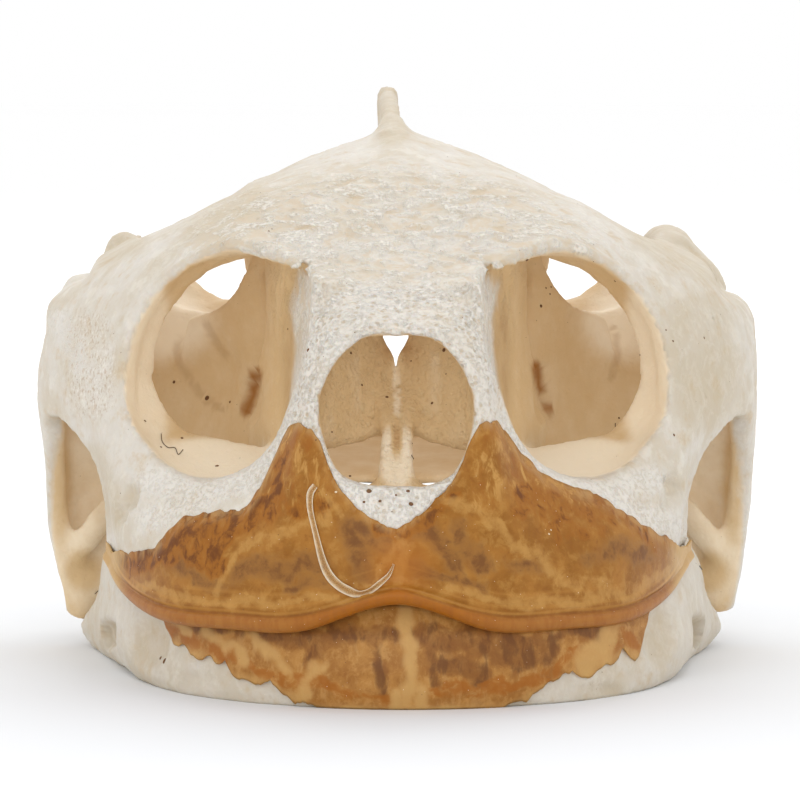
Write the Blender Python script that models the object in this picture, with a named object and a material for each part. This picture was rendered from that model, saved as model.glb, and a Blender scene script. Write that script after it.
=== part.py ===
"""Skull of a broad-headed freshwater turtle, resting on its closed lower jaw.

It has four pieces: the cranium, the lower jaw, and the horn sheath that each jaw carries as a beak.
X points to the animal's left, -Y is the way it faces and Z is up; the surface it rests on is Z = 0.
Every size below is in millimetres. Each finished piece is scaled to metres, once, at the end.
"""

import math

import bmesh
import bpy
import numpy as np
from mathutils.bvhtree import BVHTree

MM = 0.001

# Driving sizes of the head.
SNOUT_Y = -39.9
CREST_TIP_Y = 51.0
CREST_TIP_Z = 55.0
FACE_BONE = 2.3
HORN = 1.5
HORN_PROUD = 0.3
GAP = 0.65

# How fine the fused bone is, and how many triangles each piece keeps.
GRAIN = 0.7
CRANIUM_TRIANGLES = 6000
JAW_TRIANGLES = 1000
BEAK_TRIANGLES = 760

# Half way along the skull, which the finished pieces are moved by, so that the origin lies under its middle.
MIDDLE_Y = (SNOUT_Y + CREST_TIP_Y) / 2


def spline(points, count):
    """A smooth curve through rows of numbers, sampled at even steps."""
    points = np.asarray(points, float)
    padded = np.concatenate([[2 * points[0] - points[1]], points, [2 * points[-1] - points[-2]]])
    place = np.linspace(0, len(points) - 1, count)
    span = np.minimum(place.astype(int), len(points) - 2)
    f = (place - span).reshape(-1, *[1] * (points.ndim - 1))
    a, b, c, d = (padded[span + k] for k in range(4))
    return 0.5 * (2 * b + (c - a) * f + (2 * a - 5 * b + 4 * c - d) * f**2 + (3 * b - a - 3 * c + d) * f**3)


def closed_spline(points, steps):
    """A smooth loop through the points, with that many samples from each to the next."""
    points = np.asarray(points, float)
    wrapped = np.concatenate([points[-2:], points, points[:3]])
    whole = spline(wrapped, steps * (len(wrapped) - 1) + 1)
    return whole[2 * steps : (2 + len(points)) * steps]


def unit(vectors):
    return vectors / np.linalg.norm(vectors, axis=-1, keepdims=True)


def new_object(name, points, faces):
    mesh = bpy.data.meshes.new(name)
    mesh.from_pydata(np.reshape(points, (-1, 3)).tolist(), [], faces)
    obj = bpy.data.objects.new(name, mesh)
    bpy.context.scene.collection.objects.link(obj)
    return obj


def modified(obj, kind, **settings):
    """The object with one modifier applied to its mesh."""
    modifier = obj.modifiers.new(kind, kind)
    for key, value in settings.items():
        setattr(modifier, key, value)
    graph = bpy.context.evaluated_depsgraph_get()
    mesh = bpy.data.meshes.new_from_object(obj.evaluated_get(graph))
    obj.modifiers.clear()
    obj.data = mesh
    return obj


def facing_out(obj):
    shape = bmesh.new()
    shape.from_mesh(obj.data)
    bmesh.ops.recalc_face_normals(shape, faces=shape.faces)
    shape.to_mesh(obj.data)
    shape.free()
    return obj


def quads(rows, columns, closed=False):
    """The faces of a grid of points, whose rows may close into rings."""
    return [
        (r * columns + c, r * columns + (c + 1) % columns, (r + 1) * columns + (c + 1) % columns, (r + 1) * columns + c)
        for r in range(rows - 1)
        for c in range(columns if closed else columns - 1)
    ]


def tube(name, rings):
    """A closed solid through a row of rings of points, with both ends capped."""
    rings = np.asarray(rings, float)
    rows, columns = rings.shape[:2]
    faces = quads(rows, columns, closed=True)
    faces.append(tuple(range(columns)))
    faces.append(tuple((rows - 1) * columns + c for c in range(columns)))
    return facing_out(new_object(name, rings, faces))


def limb(name, path, sizes, up=(0, 0, 1), sides=20, steps=16):
    """A bar with round ends along a curved path. Each size is its half width across and its half height."""
    line, half = spline(path, steps), spline(sizes, steps)
    along = unit(np.gradient(line, axis=0))
    ends = ((0.85, 0.5), (0.45, 0.9))
    stations = [(line[0] - along[0] * far * min(half[0]), half[0] * share, along[0]) for share, far in ends[::-1]]
    stations += list(zip(line, half, along))
    stations += [(line[-1] + along[-1] * far * min(half[-1]), half[-1] * share, along[-1]) for share, far in ends]
    turn = np.linspace(0, 2 * math.pi, sides, endpoint=False)
    rings = []
    for centre, (wide, high), forward in stations:
        side = unit(np.cross(forward, up))
        top = np.cross(side, forward)
        rings.append(centre + np.outer(np.cos(turn) * wide, side) + np.outer(np.sin(turn) * high, top))
    return tube(name, rings)


def ball(name, centre, radii):
    shape = bmesh.new()
    bmesh.ops.create_icosphere(shape, subdivisions=4, radius=1)
    bmesh.ops.scale(shape, vec=radii, verts=shape.verts)
    bmesh.ops.translate(shape, vec=centre, verts=shape.verts)
    mesh = bpy.data.meshes.new(name)
    shape.to_mesh(mesh)
    shape.free()
    obj = bpy.data.objects.new(name, mesh)
    bpy.context.scene.collection.objects.link(obj)
    return obj


def sheet(name, rows, thickness, fine=(20, 16), offset=0.0):
    """A curved plate through rows of points. Its thickness lies to both sides, or wholly to one for offset 1 or -1."""
    grid = spline(np.swapaxes(spline(rows, fine[0]), 0, 1), fine[1])
    obj = new_object(name, grid, quads(*grid.shape[:2]))
    return facing_out(modified(obj, "SOLIDIFY", thickness=thickness, offset=offset, use_even_offset=True))


def prism(name, outline, low, high, axis, steps=4):
    """A cutter: a smooth outline carried straight along one axis (0, 1 or 2)."""
    loop = closed_spline(outline, steps)
    return tube(name, [np.insert(loop, axis, level, axis=1) for level in (low, high)])


def mirrored(obj):
    """A copy of a piece on the other side of the head."""
    other = obj.copy()
    other.data = obj.data.copy()
    bpy.context.scene.collection.objects.link(other)
    shape = bmesh.new()
    shape.from_mesh(other.data)
    bmesh.ops.scale(shape, vec=(-1, 1, 1), verts=shape.verts)
    bmesh.ops.reverse_faces(shape, faces=shape.faces)
    shape.to_mesh(other.data)
    shape.free()
    return other


def pair(obj):
    return [obj, mirrored(obj)]


def joined(name, pieces):
    """One object with the faces of all the pieces, which are used up."""
    shape = bmesh.new()
    for piece in pieces:
        shape.from_mesh(piece.data)
        bpy.data.objects.remove(piece)
    mesh = bpy.data.meshes.new(name)
    shape.to_mesh(mesh)
    shape.free()
    obj = bpy.data.objects.new(name, mesh)
    bpy.context.scene.collection.objects.link(obj)
    return obj


def carve(obj, cutters):
    """Cuts each cutter out of the object, and uses the cutters up."""
    for cutter in cutters:
        modified(obj, "BOOLEAN", operation="DIFFERENCE", object=cutter)
        bpy.data.objects.remove(cutter)
    return obj


def bodies(shape):
    """The separate bodies of a mesh, as lists of vertices, largest first."""
    left, found = set(shape.verts), []
    while left:
        body = [left.pop()]
        for vert in body:
            near = {edge.other_vert(vert) for edge in vert.link_edges} & left
            left -= near
            body.extend(near)
        found.append(body)
    return sorted(found, key=len, reverse=True)


def one_body(obj):
    """Drops the crumbs that a cut can leave beside the piece."""
    shape = bmesh.new()
    shape.from_mesh(obj.data)
    for crumb in bodies(shape)[1:]:
        bmesh.ops.delete(shape, geom=crumb, context="VERTS")
    shape.to_mesh(obj.data)
    shape.free()
    return obj


def fused(name, pieces, grain=GRAIN, smoothing=3):
    """Pieces that run into each other, grown into one skin with soft corners."""
    obj = joined(name, pieces)
    modified(obj, "REMESH", mode="VOXEL", voxel_size=grain)
    return one_body(modified(obj, "SMOOTH", factor=0.5, iterations=smoothing))


def thinned(obj, triangles):
    modified(obj, "TRIANGULATE")
    return modified(obj, "DECIMATE", ratio=triangles / len(obj.data.polygons))


# Ribs of the face and roof, from the ridge of the head down to the jaw's edge, from the snout back to the ear.
RIBS = [
    [(0, -36.0, 33.3), (0, -37.2, 30.5), (0, -38.2, 27), (0, -39, 23), (0, -39.6, 19), (0, -39.9, 14.5), (0, -39.6, 9.8)],
    [(0, -33, 34.9), (3.8, -34.8, 33.8), (6.7, -35.6, 30.5), (7.7, -36, 26), (8.0, -36.6, 21), (8.2, -37.8, 14.5), (8.6, -38.0, 7.2)],
    [(0, -28, 37.2), (7.2, -27.8, 37.2), (9.3, -28.8, 34.2), (9.9, -30.6, 28), (11.2, -31.8, 22), (13.5, -34, 14.5), (15, -34.2, 6.9)],
    [(0, -20.5, 40.0), (8.8, -21.2, 39.8), (14.6, -18.4, 40.5), (18.0, -18.0, 32), (18.8, -22.2, 22), (20.3, -27.4, 14.5), (21.2, -27.8, 6.9)],
    [(0, -10.5, 43.8), (10, -13, 43.2), (18.6, -12.5, 40.6), (24.8, -12, 33.5), (26.0, -13, 25.0), (26.4, -17, 15.5), (26.4, -17.8, 7.8)],
    [(0, -1, 47.2), (11.5, -3, 45.6), (21.5, -3, 41.6), (28.8, -3.5, 35.2), (30.6, -4.5, 26.5), (28.6, -6.6, 18.5), (27.9, -7.6, 10.4)],
    [(0, 8, 50.0), (11.5, 7, 47.0), (22.5, 7, 41.8), (31.5, 7, 36.0), (34.7, 7, 28), (34.4, 6.6, 18), (32.8, 7, 4)],
    [(0, 17, 51.0), (11, 17, 48.2), (22, 18, 42.6), (31, 19, 37.0), (35, 20, 28.5), (35, 20, 17), (33.4, 17, 4.5)],
    [(0, 27, 51.0), (10, 28, 47), (20, 29, 42), (28.5, 31, 35.5), (31.8, 33, 27), (31.4, 32, 17), (29.5, 28, 8)],
]

# Openings. Outlines in front view are (x, z), in side view (y, z) and from above (x, y).
ORBIT_RIM = [
    (7.9, 38.7), (8.0, 32.5), (9.4, 27.7), (11.2, 23.4), (13.9, 20.7), (17.7, 19.5),
    (21.6, 20.8), (25.0, 24.8), (25.4, 29.7), (23.9, 34.0), (19.8, 38.5), (14.9, 40.7), (10.1, 40.2),
]  # fmt: skip
ORBIT_CENTRE = (17.0, 29.5)
NOSTRIL_RIM = [
    (0, 33.2), (3.3, 32.9), (5.8, 30.4), (6.9, 27.2), (6.4, 24.0), (5.2, 21.3), (2.9, 20.1),
    (0, 20.1), (-2.9, 20.1), (-5.2, 21.3), (-6.4, 24.0), (-6.9, 27.2), (-5.8, 30.4), (-3.3, 32.9),
]  # fmt: skip
TEMPLE_NOTCH = [
    (2.0, 62), (2.0, 28), (5.5, 19), (12.5, 12), (20, 9.5), (24.4, 12), (25.4, 20), (24, 30), (20, 42), (18, 62),
]  # fmt: skip
CHEEK_NOTCH = [(-6.6, -6), (-6.8, 12), (-6.0, 17.4), (-2.0, 21.8), (5.0, 23), (8.8, 17), (9.6, 8), (9.6, -6)]


def orbit_cutter():
    """The eye's opening. It narrows inwards on its outer side, where the bar behind the eye is deep."""
    rim = closed_spline(ORBIT_RIM, 4)
    middle = np.array(ORBIT_CENTRE)
    outer_side = np.clip((rim[:, 0] - middle[0]) / 8, 0, 1)[:, None]
    high_side = np.clip((rim[:, 1] - middle[1]) / 11, 0, 1)[:, None]
    rings = []
    for y, shrink in ((-60, 0), (-13.5, 0), (-12, 0.1), (-7.5, 1), (2, 1.3)):
        inward = np.hstack([outer_side * 2.9, high_side * 1.4]) * shrink
        rings.append(np.insert(rim - inward, 1, y, axis=1))
    return tube("eye_cut", rings)


def face_shell():
    """The outer plate of face, cheek and roof, with its openings."""
    grid = spline(np.swapaxes(spline(RIBS, 50), 0, 1), 40)
    half = new_object("face", grid, quads(*grid.shape[:2]))
    shell = modified(half, "MIRROR", use_axis=(True, False, False), merge_threshold=0.05)
    facing_out(modified(shell, "SOLIDIFY", thickness=FACE_BONE, offset=1, use_even_offset=True))
    eye, temple = orbit_cutter(), prism("temple_cut", TEMPLE_NOTCH, 33, 70, 2)
    cheek = prism("cheek_cut", CHEEK_NOTCH, 20, 45, 0)
    ear = ball("ear_cut", (36, 20.5, 21.5), (7.5, 8.2, 9.2))
    cutters = [piece for cutter in (eye, temple, cheek, ear) for piece in pair(cutter)]
    return carve(shell, cutters + [prism("nostril_cut", NOSTRIL_RIM, -60, -20, 1)])


# The inside of each eye socket, from the top round the outer side to the floor: a point at the rim, one half way in
# and one at the back edge.
SOCKET = [
    [(8.8, -23.2, 38.0), (10.2, -17, 39.4), (11.6, -10, 39.6)],
    [(14.9, -17.2, 39.9), (15.0, -13.4, 39.6), (15.0, -8.5, 38.7)],
    [(19.8, -14.2, 38.0), (19.2, -11.4, 38.0), (18.1, -8, 37.3)],
    [(23.9, -12.0, 33.9), (22.9, -9.8, 34.3), (21.4, -7.2, 33.6)],
    [(25.6, -12.0, 29.7), (24.4, -9.5, 29.4), (22.9, -7, 29.1)],
    [(25.2, -12.2, 24.8), (23.9, -9.8, 25.2), (22.3, -7.4, 26.2)],
    [(21.8, -15.6, 20.5), (21.2, -12.0, 21.2), (20.2, -9, 23.2)],
    [(17.7, -19.7, 19.2), (17.6, -15.0, 19.8), (17.4, -9.6, 22.4)],
    [(13.9, -23.7, 20.0), (13.9, -17.0, 19.8), (13.9, -10.5, 21.8)],
    [(11.2, -26.6, 20.6), (10.8, -19.0, 20.0), (10.6, -11.0, 21.0)],
    [(7.0, -30.0, 20.2), (6.4, -22.0, 20.0), (6.0, -11.0, 20.6)],
]


def eye_sockets():
    """The lining of each socket, and the wall between it and the middle of the head."""
    lining = sheet("socket", SOCKET, 1.3, fine=(60, 14), offset=1)
    inner_wall = sheet(
        "inner_wall",
        [
            [(6.6, -26.4, 36.4), (6.9, -28.0, 33.4), (8.0, -28.0, 27.5), (9.8, -26.4, 22.4), (10.6, -25.4, 20.0)],
            [(7.4, -21, 38.4), (7.7, -21, 33.5), (8.5, -21, 27.5), (9.6, -20, 23), (10.0, -20, 20.0)],
            [(9.8, -13, 41.2), (9.8, -13, 34), (9.9, -12, 28), (10.6, -12, 23.5), (10.8, -12, 20.4)],
            [(12.0, -5, 43.6), (11.8, -4.6, 36), (12.2, -3.6, 30.4), (13.8, -2.4, 25.2), (13.6, -3.0, 20.4)],
        ],
        1.6,
        fine=(24, 24),
    )
    return pair(lining) + pair(inner_wall)


def upper_jaw_bone():
    """The thick arch of bone that carries the upper beak."""
    arch = [(0, -33.2, 16.4), (6.4, -32.2, 16.6), (12.0, -28.4, 16.6), (17.0, -21.6, 16.4), (21.2, -14.5, 16.0), (24.4, -8, 15.4)]
    sizes = [(4.6, 3.0), (4.6, 3.2), (4.2, 3.2), (4.0, 3.2), (3.4, 3.2), (2.0, 3.4)]
    return pair(limb("jaw_arch", arch, sizes, steps=24))


def nose_chamber():
    """The back wall of the nose, the slit at its top, and the pillar that props it on the palate."""
    wall = sheet(
        "nose_wall",
        [
            [(x, y - 0.3 * k, z) for k, z in enumerate((38.0, 34.5, 30.0, 26.5, 23.4))]
            for x, y in ((-7.6, -30.0), (-5.4, -27.2), (-2.8, -24.8), (0, -23.2), (2.8, -24.8), (5.4, -27.2), (7.6, -30.0))
        ],
        1.3,
        fine=(30, 20),
    )
    gap = [(-1.7, 38.5), (1.7, 38.5), (1.05, 32.3), (0.45, 31.0), (0.3, 29.6), (0.2, 27.6), (-0.2, 27.6), (-0.3, 29.6), (-0.45, 31.0), (-1.05, 32.3)]
    slit = tube("slit", [[(x, y, z) for x, z in gap] for y in (-32, -15)])
    pillar = limb(
        "pillar", [(0, -34.5, 18.8), (0, -32.0, 21.0), (0, -28.8, 23.6), (0, -25.8, 26.8)],
        [(2.1, 1.5), (1.4, 1.3), (1.3, 1.3), (1.5, 1.2)], up=(0, 1, 0),
    )  # fmt: skip
    keel = limb("keel", [(0, -33, 18.6), (0, -22, 19.2), (0, -4, 19.0)], [(1.9, 1.3), (1.6, 1.2), (4.0, 1.6)])
    ledge = limb("ledge", [(-8.8, -30.4, 23.0), (-4, -27.4, 23.6), (0, -26.4, 25.0), (4, -27.4, 23.6), (8.8, -30.4, 23.0)], [(0.8, 0.9)] * 5)
    return [carve(wall, [slit]), pillar, keel, ledge]


def braincase():
    """The tall tunnel for the brain, open to the nose in front and at the neck behind."""
    path = [(0, -9, 34.6), (0, 0, 34.2), (0, 11, 33.6), (0, 21, 31.2), (0, 29, 29.3)]
    outside = [(10.6, 7.4), (11.6, 11.2), (12.4, 13.2), (10.0, 10.4), (7.6, 7.2)]
    inside = [(8.8, 6.4), (9.8, 9.6), (10.0, 10.6), (7.4, 7.6), (4.7, 4.8)]
    tunnel = limb("tunnel", path, outside, sides=32)
    hollow_path = [(0, -16, 34.8), *path, (0, 38, 28.4)]
    hollow = limb("hollow", hollow_path, [inside[0], *inside, inside[-1]], sides=32, steps=22)
    shoulder = limb("shoulder", [(11.5, 0, 41.0), (12.6, 9, 39.2), (12.4, 17, 37.0), (9.5, 23, 34.5)], [(2.0, 3.0), (2.4, 3.0), (2.2, 2.6), (1.4, 1.8)])
    base = limb("base", [(0, -7, 19.2), (0, 6, 19.0), (0, 19, 18.8), (0, 29, 21.6)], [(9.0, 1.7), (9.0, 2.0), (8, 2.8), (5.5, 3.0)])
    condyle = ball("condyle", (0, 31.4, 22.6), (3.2, 3.2, 2.7))
    return [carve(tunnel, [hollow]), *pair(shoulder), base, condyle]


def crest():
    """The blade that runs back from the top of the head."""
    blade = limb(
        "crest",
        [(0, 8, 47.0), (0.0, 18, 45.6), (-0.1, 28, 45.0), (-0.3, 38, 48.2), (-0.5, CREST_TIP_Y - 1.2, CREST_TIP_Z - 2.4)],
        [(1.8, 2.6), (1.5, 5.2), (1.15, 7.2), (1.05, 4.8), (1.35, 2.3)],
        steps=24,
    )
    ridge = limb(
        "crest_ridge", [(0, 12, 50.0), (0, 24, 51.6), (-0.2, 36, 52.9), (-0.5, CREST_TIP_Y - 1.0, CREST_TIP_Z - 1.0)],
        [(2.2, 1.0), (1.4, 0.9), (1.2, 0.9), (1.45, 0.95)],
    )  # fmt: skip
    return [blade, ridge]


def ear_region():
    """The bone between the braincase and each cheek: front wall, ear capsule, jaw pillar and cup of the ear."""
    wall = sheet(
        "front_wall",
        [
            [(9.5, 5.5, 37.0), (10.5, 6.5, 31.0), (11.5, 6.0, 25.0), (11.0, 4.5, 19.6)],
            [(14.0, 11.5, 33.0), (15.5, 9.2, 29.0), (16.0, 9.0, 23.0), (15.5, 8.6, 17.6)],
            [(20.0, 14.5, 32.5), (21.5, 11.6, 28.0), (21.6, 11.0, 21.5), (21.5, 11.0, 15.4)],
            [(27.0, 15.5, 35.0), (27.6, 13.4, 28.0), (28.0, 12.6, 20.0), (28.0, 12.4, 12.0)],
        ],
        2.4,
    )
    capsule = limb("capsule", [(7, 17.5, 30.5), (17, 18.5, 29.0), (27.5, 20.5, 31.0)], [(6.5, 5.4), (6.0, 4.6), (6.5, 6.0)])
    brow = limb("brow", [(14.5, 17, 32.6), (18.5, 18.5, 32.8), (23, 20, 35.8), (27.5, 22, 38.6)], [(2.6, 1.4), (2.4, 1.4), (2.4, 1.6), (2.2, 1.8)])
    strut = limb("strut", [(7, 25, 27.5), (17, 27.5, 28.6), (28, 30.5, 30.5)], [(3.0, 3.2), (2.6, 2.6), (3.0, 3.4)])
    front = sheet(
        "jaw_front",
        [
            [(22.4, 14.6, 27), (22.6, 13.8, 20), (24.0, 13.0, 12.5), (26.6, 12.2, 5.6)],
            [(26.6, 13.0, 28), (27.0, 12.6, 20), (27.6, 12.0, 12.5), (28.4, 11.4, 4.8)],
            [(31.0, 13.8, 29), (31.2, 13.8, 20), (31.0, 13.2, 12.5), (30.4, 11.8, 4.6)],
            [(33.2, 14.0, 29), (33.4, 13.8, 20), (33.0, 13.0, 12.0), (31.6, 12.0, 4.8)],
            [(34.2, 10.6, 30), (34.4, 10.6, 20), (33.8, 10.6, 12.0), (32.4, 11.4, 5.2)],
        ],
        2.4,
    )
    pillar = limb(
        "jaw_pillar", [(26.6, 17.5, 28), (27.2, 16.0, 18), (28.6, 14.2, 11), (29.6, 13.0, 6.8)],
        [(4.4, 3.4), (4.2, 3.0), (3.9, 2.8), (3.6, 2.4)], up=(0, 1, 0),
    )  # fmt: skip
    hinge = limb("hinge", [(26.8, 12.4, 6.4), (31.4, 12.0, 6.0)], [(2.6, 2.5), (2.6, 2.5)], steps=6)
    cup = ball("cup", (31.2, 20.5, 22), (6.2, 10.0, 10.8))
    for piece in (front, pillar, cup):
        carve(piece, [ball("cup_hollow", (36.6, 20.8, 21.8), (9.4, 7.5, 8.5))])
    horn = limb("ear_horn", [(28.6, 24, 36.2), (27.6, 32, 34.2), (26.2, 37.5, 31.2)], [(3.0, 2.6), (2.6, 2.4), (1.2, 1.5)])
    return [piece for part in (wall, capsule, brow, strut, front, pillar, hinge, cup, horn) for piece in pair(part)]


def palate():
    """The wings of bone under the braincase, out to the jaw pillars."""
    wing = sheet(
        "wing",
        [
            [(6.0, -6, 19.4), (6.0, 4, 19.0), (6.0, 15, 18.0)],
            [(12.0, -5.5, 19.4), (11.5, 3, 18.4), (12.0, 15, 17.0)],
            [(15.4, -3.0, 19.4), (17.0, 6.5, 16.4), (19.0, 15, 15.0)],
            [(19.5, 6.0, 17.0), (24.0, 10.0, 12.4), (27.0, 14.5, 9.6)],
        ],
        2.2,
    )
    return pair(wing)


# The edge of the jaws seen from above, from the middle of the snout back to the joint: (x, y).
JAW_ARCH = [
    (0, -39.9), (8.2, -38.3), (15.2, -34.2), (21.2, -27.6), (25.6, -19.2), (28.2, -10.8),
    (29.8, -3.4), (31.0, 3.6), (31.6, 9.6), (31.0, 16.6),
]  # fmt: skip

# The height of each horn sheath's free edge on the face, by distance from the middle: (x, z).
UPPER_HORN_EDGE = [
    (0, 16.3), (2.8, 17.8), (5, 20.4), (7, 23.6), (8.6, 25.4), (9.8, 25.0), (12, 22.4),
    (14.8, 20.2), (18.7, 17.6), (23, 14.8), (27, 12.7), (29, 11.2),
]  # fmt: skip


def arch_frame(count, last):
    """Points along the jaws' arch, up to station last, with the level direction that points inwards at each."""
    line = spline(JAW_ARCH[: last + 1], count)
    ahead = unit(np.gradient(line, axis=0))
    return line, np.stack([-ahead[:, 1], ahead[:, 0]], axis=1)


def both_halves(rings):
    """Rings of one half, from the middle back, made into rings of the whole arch, from the right end to the left."""
    other = rings[:0:-1] * np.array([-1, 1, 1])
    return np.concatenate([other, rings])


def arch_solid(name, stations, count, last):
    """A bar along the jaws' arch. Each station is a loop of (inward, z) points."""
    line, inward = arch_frame(count, last)
    loops = spline([closed_spline(loop, 3) for loop in stations], count)
    rings = [
        np.column_stack([p + np.outer(loop[:, 0], n), loop[:, 1]]) for p, n, loop in zip(line, inward, loops)
    ]
    return tube(name, both_halves(np.array(rings)))


def lower_jaw_bar():
    """The lower jaw as a bar: each station lists its outer side from the top down, then its inner side going up."""
    return arch_solid(
        "lower_jaw",
        [
            [(3.0, 8.6), (1.7, 5.6), (1.6, 2.4), (2.8, -0.5), (11.0, -0.5), (12.4, 2.6), (8.0, 7.6)],
            [(3.0, 8.6), (1.6, 5.6), (1.3, 2.4), (2.2, -0.5), (10.0, -0.5), (11.4, 2.6), (8.0, 7.8)],
            [(2.8, 8.6), (1.4, 5.6), (0.8, 2.4), (1.6, -0.6), (8.4, -0.5), (9.2, 2.8), (7.4, 8.0)],
            [(2.6, 8.8), (1.2, 5.6), (0.5, 2.4), (1.4, -0.6), (7.4, -0.3), (8.0, 3.2), (6.8, 8.4)],
            [(2.3, 9.4), (0.8, 6.0), (0.3, 2.6), (1.8, -0.2), (7.0, 0.2), (7.6, 4.0), (6.0, 9.2)],
            [(2.4, 11.0), (0.6, 6.2), (0.4, 3.0), (2.2, 0.2), (6.6, 0.2), (7.2, 5.0), (5.4, 11.4)],
            [(3.2, 14.0), (0.4, 6.0), (0.8, 2.8), (2.8, -0.3), (6.2, -0.2), (6.8, 6.0), (5.0, 15.0)],
            [(2.4, 9.6), (0.2, 5.2), (0.6, 2.6), (2.4, -0.4), (6.0, -0.4), (6.6, 4.0), (4.6, 9.6)],
            [(-0.2, 2.6), (-0.2, 1.8), (0.6, 0.8), (2.4, -0.4), (5.4, -0.4), (7.6, 1.2), (7.6, 2.6)],
            [(1.2, 3.4), (1.0, 2.6), (1.4, 1.6), (2.6, 0.6), (4.0, 0.6), (5.0, 1.8), (4.6, 3.2)],
        ],
        64, 9,
    )  # fmt: skip


def upper_horn(steps=56):
    """The upper beak: a sheath over the face bone, its cutting edge, and a lining under the palate."""
    edge_x, edge_z = np.array(UPPER_HORN_EDGE).T
    face = []
    for rib in spline(RIBS[:6], steps):
        side = spline(rib, 160)
        first = np.argmax(side[:, 2] < np.interp(side[:, 0], edge_x, edge_z))
        face.append(spline(side[first:], 14))
    face = np.array(face)
    out = unit(np.cross(np.gradient(face, axis=1), np.gradient(face, axis=0)))
    level_in = out[:, -2] * np.array([-1, -1, 0])
    level_in = unit(level_in)
    lip = np.interp(np.linspace(0, 1, 14), [0, 0.5, 0.8, 0.93, 1], [0, 0.1, 0.25, 0.45, 0.2])[None, :, None]
    outer = face + out * (HORN_PROUD + lip)
    inner = face - out * HORN
    edge = outer[:, -1]
    rise = np.array([0, 0, 1.0])
    fade = np.clip((steps - 1 - np.arange(steps)) / 8, 0.12, 1)[:, None]
    reach = 8.0 * fade
    roof_z = 12.8 - edge[:, 2:]
    lining = [edge + level_in * 1.2 * fade + rise * -0.25, edge + level_in * 2.0 * fade + rise * 1.2]
    lining += [edge + level_in * (2.0 * fade + reach * k) + rise * roof_z * h for k, h in ((0.1, 0.7), (0.5, 1.0), (1.0, 1.06))]
    bone_side = [edge + level_in * (2.0 * fade + reach * k) + rise * (roof_z * h + 1.2) for k, h in ((1.0, 1.06), (0.5, 1.0), (0.15, 0.9))]
    rows = [outer[:, k] for k in range(14)] + lining + bone_side
    rows += [inner[:, k] for k in range(11, -1, -1)]
    return tube("upper_beak", both_halves(np.stack(rows, axis=1)))


def lower_horn():
    """The lower beak: a sheath round the front of the lower jaw and over its upper edge."""
    return arch_solid(
        "lower_beak",
        [
            [(2.6, 9.3), (1.2, 6.6), (0.7, 3.4), (1.4, 0.1), (2.8, 0.0), (2.6, 3.2), (3.2, 6.2), (8.4, 7.4), (8.6, 8.6)],
            [(2.6, 9.3), (1.2, 6.6), (0.6, 3.4), (1.0, 0.2), (2.4, 0.2), (2.4, 3.2), (3.2, 6.2), (8.4, 7.4), (8.6, 8.6)],
            [(2.5, 9.4), (1.0, 6.8), (0.4, 4.0), (0.4, 1.3), (1.8, 1.4), (2.0, 3.6), (3.0, 6.4), (7.8, 7.6), (8.0, 8.8)],
            [(2.4, 9.5), (1.0, 7.0), (0.5, 5.0), (0.2, 2.9), (1.6, 3.0), (1.9, 4.4), (2.8, 6.8), (7.0, 8.0), (7.2, 9.0)],
            [(2.3, 9.9), (0.9, 8.2), (0.6, 6.8), (0.4, 5.2), (1.7, 5.3), (2.0, 6.4), (2.6, 7.6), (6.0, 8.6), (6.2, 9.6)],
            [(2.2, 10.6), (1.4, 9.6), (1.0, 8.8), (0.6, 8.0), (1.8, 8.0), (2.1, 8.6), (2.4, 9.2), (4.4, 9.8), (4.5, 10.4)],
        ],
        56, 5,
    )  # fmt: skip


def mouth():
    """A cutter for the space inside the jaws' arch, below the palate."""
    line, inward = arch_frame(24, 6)
    half = line + inward * 2.3
    loop = np.concatenate([half[:0:-1] * (-1, 1), half])
    return tube("mouth", [np.insert(loop, 2, level, axis=1) for level in (-5, 12.6)])


def grown(obj, by):
    """A copy that stands off the piece all round, to cut its seat in the bone."""
    cutter = obj.copy()
    cutter.data = obj.data.copy()
    bpy.context.scene.collection.objects.link(cutter)
    modified(cutter, "REMESH", mode="VOXEL", voxel_size=0.5)
    modified(cutter, "SMOOTH", factor=0.5, iterations=1)
    return modified(cutter, "DISPLACE", strength=by, mid_level=0)


def kept_clear(obj, others, gap):
    """Moves the piece's vertices back wherever they come closer than the gap to another piece."""
    trees = []
    for other in others:
        shape = bmesh.new()
        shape.from_mesh(other.data)
        trees.append(BVHTree.FromBMesh(shape))
        shape.free()
    shape = bmesh.new()
    shape.from_mesh(obj.data)
    for tree in trees * 3:
        for vert in shape.verts:
            near, normal, _, distance = tree.find_nearest(vert.co, gap * 4)
            if near is None:
                continue
            depth = (vert.co - near).dot(normal)
            if depth < gap and (depth < 0 or distance < gap):
                vert.co = near + normal * gap
    shape.to_mesh(obj.data)
    shape.free()
    return obj


def flat_below(obj, level):
    """Cuts the piece off flat at a height, as worn where it rests."""
    shape = bmesh.new()
    shape.from_mesh(obj.data)
    everything = shape.verts[:] + shape.edges[:] + shape.faces[:]
    cut = bmesh.ops.bisect_plane(shape, geom=everything, plane_co=(0, 0, level), plane_no=(0, 0, 1), clear_inner=True)
    rim = [e for e in cut["geom_cut"] if isinstance(e, bmesh.types.BMEdge)]
    bmesh.ops.holes_fill(shape, edges=rim)
    shape.to_mesh(obj.data)
    shape.free()
    return obj


def colour(obj, name, rgb, roughness):
    material = bpy.data.materials.get(name) or bpy.data.materials.new(name)
    material.use_nodes = True
    shader = material.node_tree.nodes["Principled BSDF"]
    shader.inputs["Base Color"].default_value = (*rgb, 1)
    shader.inputs["Roughness"].default_value = roughness
    shader.inputs["Metallic"].default_value = 0
    obj.data.materials.clear()
    obj.data.materials.append(material)


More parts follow.
